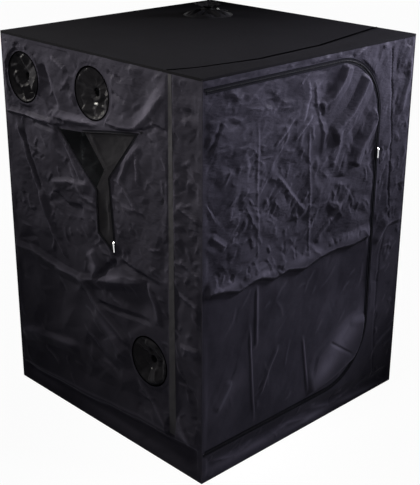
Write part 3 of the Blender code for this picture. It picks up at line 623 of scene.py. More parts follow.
# Near-black: the seams' and port bindings' own dark, with the shade in their grooves painted in
SEAM_SHADE = ClothFinish("seam_shade_finish", (0.0008, 0.0008, 0.0010), (0.0016, 0.0016, 0.0020), 0.8, 0.0, 0.0003)
BINDING = ClothFinish("binding_finish", (0.033, 0.031, 0.042), (0.054, 0.051, 0.068), 0.5, 0.002, 0.0003)
STRIP = ClothFinish("strip_finish", (0.050, 0.049, 0.056), (0.078, 0.076, 0.086), 0.5, 0.002, 0.0005)
TAPE = ClothFinish(
    "zip_tape_finish", (0.009, 0.009, 0.012), (0.015, 0.015, 0.019), 0.7, 0.002, 0.0002, 0.0006
)
FLOOR = ClothFinish("floor_cloth_finish", (0.014, 0.014, 0.016), (0.03, 0.03, 0.034), 0.5, 0.1, 0.0006)
LINING = ClothFinish("lining_finish", (0.46, 0.47, 0.48), (0.66, 0.67, 0.68), 0.3, 0.5, 0.0010, 0.0009, 0.85)
SLEEVE = ClothFinish(
    "sleeve_cloth_finish", (0.0150, 0.0145, 0.0172), (0.034, 0.0330, 0.039), 0.34, 0.007, 0.0007
)
# The roof sleeve's lighter colour paints glints on the crests of its ruffle
ROOF_SLEEVE = ClothFinish(
    "roof_sleeve_finish", (0.0060, 0.0059, 0.0070), (0.040, 0.0392, 0.046), 0.30, 0.001, 0.0007
)
TUBE = PlainFinish("tube_finish", (0.60, 0.61, 0.62), (0.70, 0.71, 0.72), 0.34, 0.25)
CONNECTOR = PlainFinish(
    "connector_finish", (0.014, 0.014, 0.015), (0.024, 0.024, 0.026), 0.46, 0.0, 700.0, 0.00005
)
LOCK = PlainFinish("lock_finish", (0.40, 0.40, 0.41), (0.5, 0.5, 0.51), 0.36)
BRIGHT = PlainFinish("bright_finish", (0.78, 0.79, 0.80), (0.9, 0.9, 0.91), 0.2, 1.0)
COIL = PlainFinish("coil_finish", (0.008, 0.008, 0.010), (0.016, 0.016, 0.019), 0.5, specular=0.01)
CORD = PlainFinish("cord_finish", (0.018, 0.018, 0.02), (0.03, 0.03, 0.033), 0.7, 0.0, 1500.0, 0.0002, 0.1)


def finish_mesh(
    name: str,
    vertices: np.ndarray,
    faces: list[tuple[int, ...]],
    uv: np.ndarray,
    finishes: tuple,
    values: dict[str, np.ndarray] | None = None,
) -> bpy.types.Object:
    """Make an object from points in the tent's metres.

    Args:
        name: the piece's name.
        vertices: the points.
        faces: point indices of each face, anticlockwise from outside.
        uv: each point's place on the cloth, in metres.
        finishes: the finishes of its material slots.
        values: values to store on the points.

    Returns:
        The smooth-shaded object.
    """
    mesh = bpy.data.meshes.new(name)
    mesh.from_pydata(vertices.tolist(), [], faces)
    layer = mesh.uv_layers.new(name="UVMap")
    corners = np.zeros(len(mesh.loops), np.int32)
    mesh.loops.foreach_get("vertex_index", corners)
    layer.data.foreach_set("uv", uv[corners].astype(np.float32).ravel())
    for key, value in (values or {}).items():
        attribute = mesh.attributes.new(key, "FLOAT", "POINT")
        attribute.data.foreach_set("value", value.astype(np.float32))
    for finish in finishes:
        mesh.materials.append(finish.material())
    mesh.shade_smooth()
    piece = bpy.data.objects.new(name, mesh)
    bpy.context.scene.collection.objects.link(piece)
    return piece


def select_only(piece: bpy.types.Object) -> None:
    """Select one piece, and make it the active one."""
    bpy.ops.object.select_all(action="DESELECT")
    piece.select_set(True)
    bpy.context.view_layer.objects.active = piece


def thicken(piece: bpy.types.Object, thickness: float, side: float = -1.0) -> None:
    """Give a sheet its thickness, its far face in its second finish if it has one."""
    shell = piece.modifiers.new("Cloth", "SOLIDIFY")
    shell.thickness = thickness
    shell.offset = side
    shell.material_offset = min(1, len(piece.data.materials) - 1)
    select_only(piece)
    for modifier in list(piece.modifiers):
        bpy.ops.object.modifier_apply(modifier=modifier.name)
    piece.select_set(False)


def shade(piece: bpy.types.Object, angle: float) -> None:
    """Shade a piece smooth but for its edges that are sharper than an angle."""
    select_only(piece)
    bpy.ops.object.shade_smooth_by_angle(angle=angle)
    piece.select_set(False)


def dress(piece: bpy.types.Object, body: str, slot: str, *nodes: str) -> bpy.types.Object:
    """Let a piece ride on a body and stand for its nodes."""
    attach(piece, body)
    if nodes:
        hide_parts(*nodes)
    log.info("made %s, %d faces", piece.name, len(piece.data.polygons))
    return piece


@dataclass
class Sheet:
    """A sheet of cloth on a wall: its cut, its holes, its folds and its two faces."""

    name: str
    side: Side
    cut: np.ndarray
    relief: Relief = Relief()
    holes: tuple = ()
    calm: tuple = ()
    spacing: float = 0.010
    lift: float = 0.0
    thickness: float = 0.0008
    outer: ClothFinish = COVER
    inner: ClothFinish = LINING
    under: Sheet | None = None
    slack_share: float = 0.03
    facet_angle: float = radians(9)
    clear_share: float = 0.55
    crest_widths: Point = (0.007, 0.006)
    crest_shares: Point = (0.6, 0.36)
    crinkle_fade: float = 0.08
    crinkle_waves: tuple[Point, Point] = ((13.0, 8.0), (-7.0, 15.0))
    crinkle_shares: tuple[float, float, float] = (0.2, 0.5, 0.35)
    plain_crinkle_share: float = 0.25
    least_crinkle_share: float = 0.1
    least_area_share: float = 0.3

    def surface(self, points: np.ndarray) -> np.ndarray:
        """Return how far out the sheet lies at each point."""
        sewn = np.min([loop_distance(points, loop) for loop in (self.cut, *self.holes)], 0)
        calm = np.full(len(points), np.inf)
        for loop in self.calm:
            away = np.where(inside(points, loop), 0, loop_distance(points, loop))
            calm = np.minimum(calm, away)
        low, high = self.side.reach()
        border = np.minimum(points - low, high - points).min(1)
        heights = self.relief.heights(points, sewn, calm, np.maximum(border, 0))
        if self.under:
            heights += self.under.surface(points)
        return heights + self.lift

    def build(self) -> bpy.types.Object:
        """Return the sheet, laid in its folds."""
        loops = [resampled(loop, self.spacing) for loop in (self.cut, *self.holes)]
        grid = self.grid(loops)
        edges = []
        first = 0
        for loop in loops:
            count = len(loop)
            edges += [(first + k, first + (k + 1) % count) for k in range(count)]
            first += count
        flat = [Vector(p) for p in np.vstack((*loops, grid)).tolist()]
        places, _, faces = delaunay_2d_cdt(flat, edges, [], 0, SAME_PLACE, False)[:3]
        points = np.array([tuple(p) for p in places])
        faces = self.kept(points, faces)
        used = sorted({k for face in faces for k in face})
        order = {old: new for new, old in enumerate(used)}
        faces = [tuple(order[k] for k in face) for face in faces]
        points = points[used]
        world = to_tent(np.column_stack((points, self.surface(points))), self.side.place())
        values = {"wear_and_highlight": self.wear_and_highlight(points), "crushed": self.crushed(points)}
        piece = finish_mesh(self.name, world, faces, points, (self.outer, self.inner), values)
        thicken(piece, self.thickness)
        shade(piece, self.facet_angle)
        return piece

    def grid(self, loops: list[np.ndarray]) -> np.ndarray:
        """Return the points between the edges, in staggered rows."""
        low, high = self.cut.min(0), self.cut.max(0)
        row_step = self.spacing * sqrt(3) / 2
        rows = np.arange(low[1] + row_step, high[1], row_step)
        columns = np.arange(low[0], high[0] + self.spacing, self.spacing)
        across, up = np.meshgrid(columns, rows)
        across = across + (np.arange(len(rows)) % 2)[:, None] * self.spacing / 2
        points = np.stack((across.ravel(), up.ravel()), 1)
        points = points[inside(points, self.cut)]
        for hole in self.holes:
            points = points[~inside(points, hole)]
        for loop in loops:
            points = points[loop_distance(points, loop) > self.spacing * self.clear_share]
        return points

    def kept(self, points: np.ndarray, faces: list) -> list[tuple[int, ...]]:
        """Return the faces that lie on the cloth, turned to face outwards."""
        corners = np.array([tuple(face) for face in faces])
        middles = points[corners].mean(1)
        keep = inside(middles, self.cut)
        for hole in self.holes:
            keep &= ~inside(middles, hole)
        start, middle, end = (points[corners[:, k]] for k in range(3))
        first, second = middle - start, end - start
        area = first[:, 0] * second[:, 1] - first[:, 1] * second[:, 0]
        corners[area < 0] = corners[area < 0][:, ::-1]
        return [tuple(corner) for corner in corners[keep].tolist()]

    def wear_and_highlight(self, points: np.ndarray) -> np.ndarray:
        """Return the lighter colour at each point: rubbed wear and painted highlight along the fold crests,
        painted highlight on the lit patches.
        """
        result = np.zeros(len(points))
        kinds = (self.relief.creases, self.relief.small_creases())
        for creases, width, most in zip(kinds, self.crest_widths, self.crest_shares):
            for crease in creases:
                if crease.height > 0:
                    result = np.maximum(result, crease.crest(points, width, most))
        for place in self.relief.lightened:
            result = np.maximum(result, place.heights(points))
        return result

    def crushed(self, points: np.ndarray) -> np.ndarray:
        """Return how strong the fine crinkles are at each point."""
        if not self.relief.crushes:
            return np.full(len(points), self.plain_crinkle_share)
        upper = smooth_step((points[:, 1] - self.relief.crushes[0].bottom) / self.crinkle_fade)
        patchy = patches(points, self.crinkle_waves, (1.0, 0.0))
        everywhere, above, swing = self.crinkle_shares
        return np.clip(everywhere + upper * (above + swing * patchy), self.least_crinkle_share, 1.0)


@dataclass
class Door:
    """The D-shaped door with its zip: sewn at its left side, and free round the other three."""

    corner: float = 0.32
    corner_steps: int = 25
    gap: float = 0.002
    tape: float = 0.013
    hinge_overlap: float = 0.0003
    zip_start: float = 0.012
    coil_inset: float = 0.0013
    spacing: float = 0.0080
    surround_spacing: float = 0.0085
    relief: Relief = field(default_factory=lambda: DOOR_RELIEF)

    def outline(self, margin: float) -> np.ndarray:
        """Return the free edge from the top of the hinge side round to its foot."""
        low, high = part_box("door_panel")
        right = high.x - self.corner
        radius = self.corner + margin
        path = [(low.x, high.z + margin)]
        for centre_z, first in ((high.z - self.corner, pi / 2), (low.z + self.corner, 0.0)):
            for angle in np.linspace(first, first - pi / 2, self.corner_steps):
                path.append((right + radius * cos(angle), centre_z + radius * sin(angle)))
        path.append((low.x, low.z - margin))
        return np.array(path)

    def build(self, trims: tuple[bpy.types.Object, ...]) -> None:
        """Make the door, the zip on both sides of the gap, and the surround.

        Args:
            trims: the bindings of the front wall; not used.
        """
        door = Sheet("door_cloth", Side.FRONT, self.outline(0), self.relief, spacing=self.spacing)
        door_piece = dress(door.build(), "door", "cover_cloth", "door_panel")
        door_zip, surround_zip = self.build_zip()
        low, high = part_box("front_surround")
        opening, taped = self.outline(self.gap), self.outline(self.gap + self.tape)
        for loop in (opening, taped):
            loop[[0, -1], 0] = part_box("door_panel")[0].x - self.hinge_overlap
        surround = Sheet(
            "surround_cloth",
            Side.FRONT,
            rectangle(low.x, low.z, high.x, high.z),
            SURROUND_RELIEF,
            holes=(opening,),
            calm=(taped,),
            spacing=self.surround_spacing,
        )
        piece = dress(surround.build(), COVER_BODY, "cover_cloth", "front_surround")

    def build_zip(self) -> list[tuple[bpy.types.Object, ...]]:
        """Make the two halves of the door's zip, and return the tape and coil of each."""
        made = []
        for name, body, side, near, start in (
            ("door", "door", -1, 0.0, self.zip_start),
            ("surround", COVER_BODY, 1, self.gap, 0.0),
        ):
            route = self.outline(near + side * self.tape / 2)
            edge = self.outline(self.gap / 2 + side * self.coil_inset)
            for line in (route, edge):
                line[[0, -1], 0] += start
            halves = zip_half(f"{name}_zip_half", Side.FRONT, route, edge, self.tape)
            dress(halves[0], body, "zip_tape", f"{name}_zip_tape")
            dress(halves[1], body, "zip_tape")
            made.append(halves)
        return made


def tape_profile(width: float) -> np.ndarray:
    """Return the section of a zip tape: flat, with a raised selvedge on each side."""
    foot, edge, crown, flat = 0.0003, 0.0016, (0.0012, 0.0019), (0.0022, 0.0013)
    left = np.array(((0, foot), (0, edge), crown, flat)) - (width / 2, 0)
    return np.vstack((left, left[::-1] * (-1, 1)))


def coil_profile() -> np.ndarray:
    """Return the section of half a zip's coil."""
    half_width, height, corners = 0.0012, 0.0013, 7
    angles = np.linspace(0, pi, corners)
    return np.stack((half_width * np.cos(angles), height * np.sin(angles)), 1)[::-1]


def raised_profile(span: Point, heights: tuple[float, ...], crown_place: float = 0.0) -> np.ndarray:
    """Return the section of a sewn band.

    Args:
        span: its left and right ends, across.
        heights: of its sunk foot, its left edge, its crown and its right edge.
        crown_place: where its crown is, across.

    Returns:
        The (across, out) points.
    """
    foot, *tops = heights
    left, right = span
    return np.stack(((left, left, crown_place, right, right), (foot, *tops, foot)), 1)


# The steps of a ribbon along a flat wall and along folds
RIBBON_STEP = 0.04
FOLDED_STEP = 0.010
RIBBON_CRINKLE_SHARE = 0.2
RIBBON_ANGLE = radians(38)
SHARPEST_MITRE_SHARE = 0.5


def ribbon(
    name: str,
    side: Side,
    route: np.ndarray,
    profile: np.ndarray,
    finish: object,
    lift: float = 0.0,
    under: Sheet | None = None,
) -> bpy.types.Object:
    """Sweep a section along a route on a wall, in short steps where it follows folds.

    Args:
        name: the piece's name.
        side: the wall.
        route: the open route, in the wall's metres.
        profile: (across, out) points of the section; it is closed and capped.
        finish: the finish.
        lift: how far the section's zero stands off the wall.
        under: the sheet whose folds it follows, if it lies on one.

    Returns:
        The closed ribbon.
    """
    dense = [route[0]]
    step_length = FOLDED_STEP if under else RIBBON_STEP
    for start, end in zip(route, route[1:]):
        count = max(1, round(float(np.linalg.norm(end - start)) / step_length))
        dense += [start + (end - start) * step / count for step in range(1, count + 1)]
    path = np.array(dense)
    runs = np.diff(path, axis=0)
    runs /= np.linalg.norm(runs, axis=1)[:, None]
    before = np.vstack((runs[:1], runs))
    after = np.vstack((runs, runs[-1:]))
    mean = before + after
    mean /= np.linalg.norm(mean, axis=1)[:, None]
    normal = np.stack((-mean[:, 1], mean[:, 0]), 1)
    stretch = 1 / np.maximum(SHARPEST_MITRE_SHARE, (mean * after).sum(1))
    count = len(profile)
    flat = path[:, None, :] + normal[:, None, :] * (profile[None, :, :1] * stretch[:, None, None])
    out = np.tile(profile[None, :, 1] + lift, (len(path), 1))
    if under:
        out += under.surface(flat.reshape(-1, 2)).reshape(out.shape)
    length = np.concatenate(([0], np.cumsum(np.linalg.norm(np.diff(path, axis=0), axis=1))))
    uv = np.stack((np.repeat(length, count), np.tile(profile[:, 0], len(path))), 1)
    faces = faces_between(len(path), count)
    faces.append(tuple(range(count - 1, -1, -1)))
    faces.append(tuple(range((len(path) - 1) * count, len(path) * count)))
    world = to_tent(np.column_stack((flat.reshape(-1, 2), out.ravel())), side.place())
    values = {"crushed": np.full(len(world), RIBBON_CRINKLE_SHARE)}
    piece = finish_mesh(name, world, faces, uv, (finish,), values)
    outwards(piece)
    return piece


def outwards(piece: bpy.types.Object) -> None:
    """Turn every face of a ribbon outwards, and shade its edges sharp."""
    select_only(piece)
    bpy.ops.object.mode_set(mode="EDIT")
    bpy.ops.mesh.select_all(action="SELECT")
    bpy.ops.mesh.normals_make_consistent(inside=False)
    bpy.ops.object.mode_set(mode="OBJECT")
    shade(piece, RIBBON_ANGLE)


def zip_half(
    name: str,
    side: Side,
    route: np.ndarray,
    edge: np.ndarray,
    width: float,
) -> tuple[bpy.types.Object, bpy.types.Object]:
    """Make one side of a zip.

    Args:
        name: the tape's name.
        side: the wall.
        route: the middle line of the tape.
        edge: the middle line of the coil.
        width: the tape's width.

    Returns:
        The tape and the coil.
    """
    coil_lift = 0.0018
    tape = ribbon(name, side, route, tape_profile(width), TAPE)
    coil_name = f"{name.removesuffix('_tape')}_coil"
    return tape, ribbon(coil_name, side, edge, coil_profile(), COIL, coil_lift)


DOOR_RELIEF = Relief(
    creases=(
        # The fold the cover was packed on, across the door
        Crease(
            (
                *((-0.74, 0.985), (-0.70, 1.005), (-0.60, 0.990), (-0.52, 0.965), (-0.44, 0.985)),
                *((-0.37, 0.990), (-0.28, 0.960), (-0.18, 0.975), (-0.05, 0.945), (0.06, 0.975)),
                *((0.19, 0.985), (0.32, 0.970), (0.49, 0.990)),
            ),
            0.0115,
            0.040,
            0.011,
            taper=0.03,
        ),
        # Folds under the zip's bend, steep towards the hinge and gentle towards the zip
        Crease(((0.21, 1.93), (0.17, 1.84), (0.10, 1.775), (0.02, 1.74)), 0.015, 0.034, 0.021, taper=0.08),
        Crease(((0.38, 1.85), (0.32, 1.75), (0.25, 1.67), (0.11, 1.59)), 0.018, 0.044, 0.029, taper=0.08),
        Crease(
            ((0.485, 1.63), (0.40, 1.555), (0.335, 1.475), (0.30, 1.39)),
            0.018,
            0.030,
            0.042,
            taper=0.08,
        ),
        Crease(((0.15, 1.62), (0.17, 1.52), (0.12, 1.42)), 0.008, 0.016, 0.022),
        Crease(((-0.08, 1.90), (-0.06, 1.81), (-0.11, 1.68)), 0.0032, 0.008, 0.020),
        Crease(((-0.03, 1.90), (0.00, 1.75), (0.06, 1.61), (0.05, 1.48)), 0.0034, 0.018, 0.008),
        # Short creases
        Crease(((-0.16, 1.73), (-0.30, 1.61)), 0.0045, 0.008, 0.014),
        Crease(((-0.03, 1.72), (-0.16, 1.61)), 0.0045, 0.008, 0.014),
        Crease(((-0.63, 1.80), (-0.73, 1.65)), -0.0045, 0.010, 0.012),
        Crease(((-0.28, 1.48), (-0.05, 1.23)), 0.0050, 0.010, 0.020),
        Crease(((0.29, 1.30), (0.15, 1.17), (0.01, 1.05)), 0.0070, 0.018, 0.009),
        Crease(((0.32, 1.27), (0.19, 1.15), (0.06, 1.04)), -0.0060, 0.012, 0.016),
        Crease(((-0.70, 1.28), (-0.60, 1.20)), 0.0060, 0.014, 0.018),
        # Upright storage creases
        Crease(((-0.41, 1.76), (-0.40, 1.40), (-0.39, 1.06)), 0.0019, 0.008, 0.007, taper=0.08),
        Crease(((-0.05, 1.66), (-0.03, 1.30), (-0.02, 1.02)), 0.0022, 0.009, 0.006, taper=0.08),
        Crease(((-0.39, 0.96), (-0.38, 0.60)), 0.0040, 0.010, 0.008),
        Crease(((-0.43, 0.76), (-0.41, 0.44), (-0.39, 0.20)), 0.0034, 0.006, 0.007),
        Crease(((-0.03, 0.56), (-0.01, 0.39), (0.01, 0.19)), 0.0036, 0.006, 0.007),
        Crease(((-0.21, 0.57), (-0.29, 0.46), (-0.35, 0.33)), 0.0046, 0.008, 0.014),
        Crease(((-0.55, 0.50), (-0.66, 0.36)), 0.0046, 0.014, 0.020),
        # The slack patch at the lower right, which hangs over its own lower edge
        Crease(
            ((0.00, 0.205), (0.20, 0.235), (0.37, 0.29), (0.49, 0.41), (0.505, 0.52)),
            0.0210,
            0.085,
            0.013,
            taper=0.08,
        ),
        Crease(((0.03, 0.26), (0.09, 0.39), (0.26, 0.50), (0.42, 0.58)), -0.0050, 0.020, 0.010),
        Crease(((0.19, 0.44), (0.37, 0.31)), -0.0035, 0.006, 0.008),
    ),
    slacks=(
        Slack((-0.13, 1.50), (0.06, 0.045), -0.010, 0.6),
        Slack((-0.25, 1.51), (0.035, 0.04), -0.009, 0.8),
        Slack((-0.20, 1.14), (0.16, 0.09), -0.006),
        Slack((-0.55, 1.62), (0.18, 0.20), 0.004),
        Slack((0.30, 1.16), (0.15, 0.14), 0.005),
        Slack((-0.10, 0.62), (0.45, 0.22), -0.006),
        Slack((0.25, 0.78), (0.20, 0.15), -0.004),
    ),
    wrinkles=(
        Wrinkles(60, 101, (-0.74, 1.55), (0.05, 1.95), 0.12, 0.25, 0.0040, (0.06, 0.14)),
        Wrinkles(110, 102, (-0.74, 1.00), (0.44, 1.62), 0.90, 0.35, 0.0046),
        Wrinkles(50, 103, (-0.60, 1.00), (0.46, 1.60), -0.90, 0.30, 0.0046),
        Wrinkles(36, 104, (-0.74, 0.12), (0.46, 0.95), 1.20, 0.50, 0.0018, (0.05, 0.16)),
        Wrinkles(34, 105, (-0.70, 0.985), (0.48, 1.030), 0.6, 0.90, 0.0056, (0.03, 0.08)),
    ),
    crushes=(
        Crush(0.120, 0.0085, 11, 1.5, 0.6, 0.98),
        Crush(0.052, 0.0056, 12, 1.8, -0.7, 0.98),
        Crush(0.025, 0.0018, 13, 2.4, -0.1, 0.98),
        Crush(0.022, 0.0022, 17, 4.5, 0.12, 1.58),
        Crush(0.150, 0.0045, 14, 1.6, 1.2, -9.0, 0.98),
        Crush(0.060, 0.0016, 15, 2.0, 0.9, -9.0, 0.98),
        Crush(0.028, 0.0005, 16, 1.5, 0.9, -9.0, 0.98),
    ),
    ironed=(Slack((0.25, 1.73), (0.24, 0.17), 0.95, 0.7), Slack((0.27, 0.40), (0.22, 0.13), 0.8)),
    # Painted highlights in the cloth's lighter colour: the lit top of the slack patch, the lit band above
    # the packing fold and a lit patch low on the hinge side
    lightened=(
        Slack((0.30, 0.44), (0.17, 0.065), 1.3, 0.58),
        Slack((0.16, 0.32), (0.14, 0.050), 1.1, 0.50),
        Slack((-0.60, 1.01), (0.13, 0.020), 0.9),
        Slack((-0.34, 1.00), (0.12, 0.018), 0.9),
        Slack((-0.02, 1.00), (0.14, 0.024), 0.7),
        Slack((0.34, 1.02), (0.14, 0.026), 0.7),
        Slack((-0.60, 0.42), (0.16, 0.05), 0.5, 0.6),
    ),
    highest=0.030,
)

SURROUND_RELIEF = Relief(
    creases=(
        Crease(
            ((0.56, 1.97), (0.585, 1.64), (0.60, 1.47), (0.605, 1.19), (0.62, 0.99)),
            -0.0026,
            0.006,
            0.007,
            taper=0.03,
        ),
        Crease(((0.60, 0.97), (0.57, 0.84), (0.56, 0.55), (0.58, 0.06)), -0.0022, 0.006, 0.007, taper=0.04),
        Crease(((0.36, 1.99), (0.25, 1.95)), 0.0040, 0.006, 0.010),
        Crease(((0.745, 1.01), (0.60, 1.00), (0.52, 0.90)), 0.0080, 0.012, 0.030),
        Crease(((0.74, 1.90), (0.70, 1.72), (0.66, 1.58)), 0.0055, 0.016, 0.020),
        Crease(((0.73, 0.36), (0.57, 0.28)), 0.0040, 0.014, 0.010),
        Crease(
            ((-0.74, 0.085), (-0.28, 0.090), (0.06, 0.080), (0.50, 0.060), (0.74, 0.050)),
            -0.0150,
            0.036,
            0.040,
            taper=0.02,
        ),
        Crease(((-0.70, 0.10), (-0.52, 0.055), (-0.38, 0.09)), 0.0060, 0.014, 0.018),
        Crease(((-0.30, 0.05), (-0.12, 0.075), (0.05, 0.045)), 0.0060, 0.014, 0.018),
        Crease(((0.02, 0.10), (0.22, 0.050), (0.40, 0.075)), 0.0060, 0.014, 0.018),
    ),
    wrinkles=(
        Wrinkles(60, 111, (0.51, 1.00), (0.74, 1.97), 1.10, 0.50, 0.0040, (0.03, 0.10)),
        Wrinkles(24, 112, (-0.70, 1.955), (0.50, 1.975), 0.20, 0.40, 0.0040, (0.03, 0.08)),
        Wrinkles(40, 113, (0.53, 0.10), (0.74, 0.95), 0.80, 0.60, 0.0040, (0.03, 0.10)),
        Wrinkles(30, 114, (-0.72, 0.02), (0.72, 0.12), 0.30, 0.60, 0.0050, (0.03, 0.12)),
    ),
    crushes=(
        Crush(0.075, 0.0070, 21, 1.4, 1.1, 0.95),
        Crush(0.036, 0.0036, 22, 1.6, 0.4, 0.95),
        Crush(0.080, 0.0040, 23, 1.6, 1.1, -9.0, 0.98),
        Crush(0.036, 0.0016, 24, 1.8, 0.4, -9.0, 0.98),
    ),
    # Painted highlight in the cloth's lighter colour: the band round the foot, lit from the front below the
    # hollow
    lightened=(
        Slack((-0.42, 0.050), (0.26, 0.016), 0.8),
        Slack((0.05, 0.040), (0.20, 0.014), 0.9),
        Slack((0.45, 0.030), (0.22, 0.012), 0.9, -0.05),
    ),
)

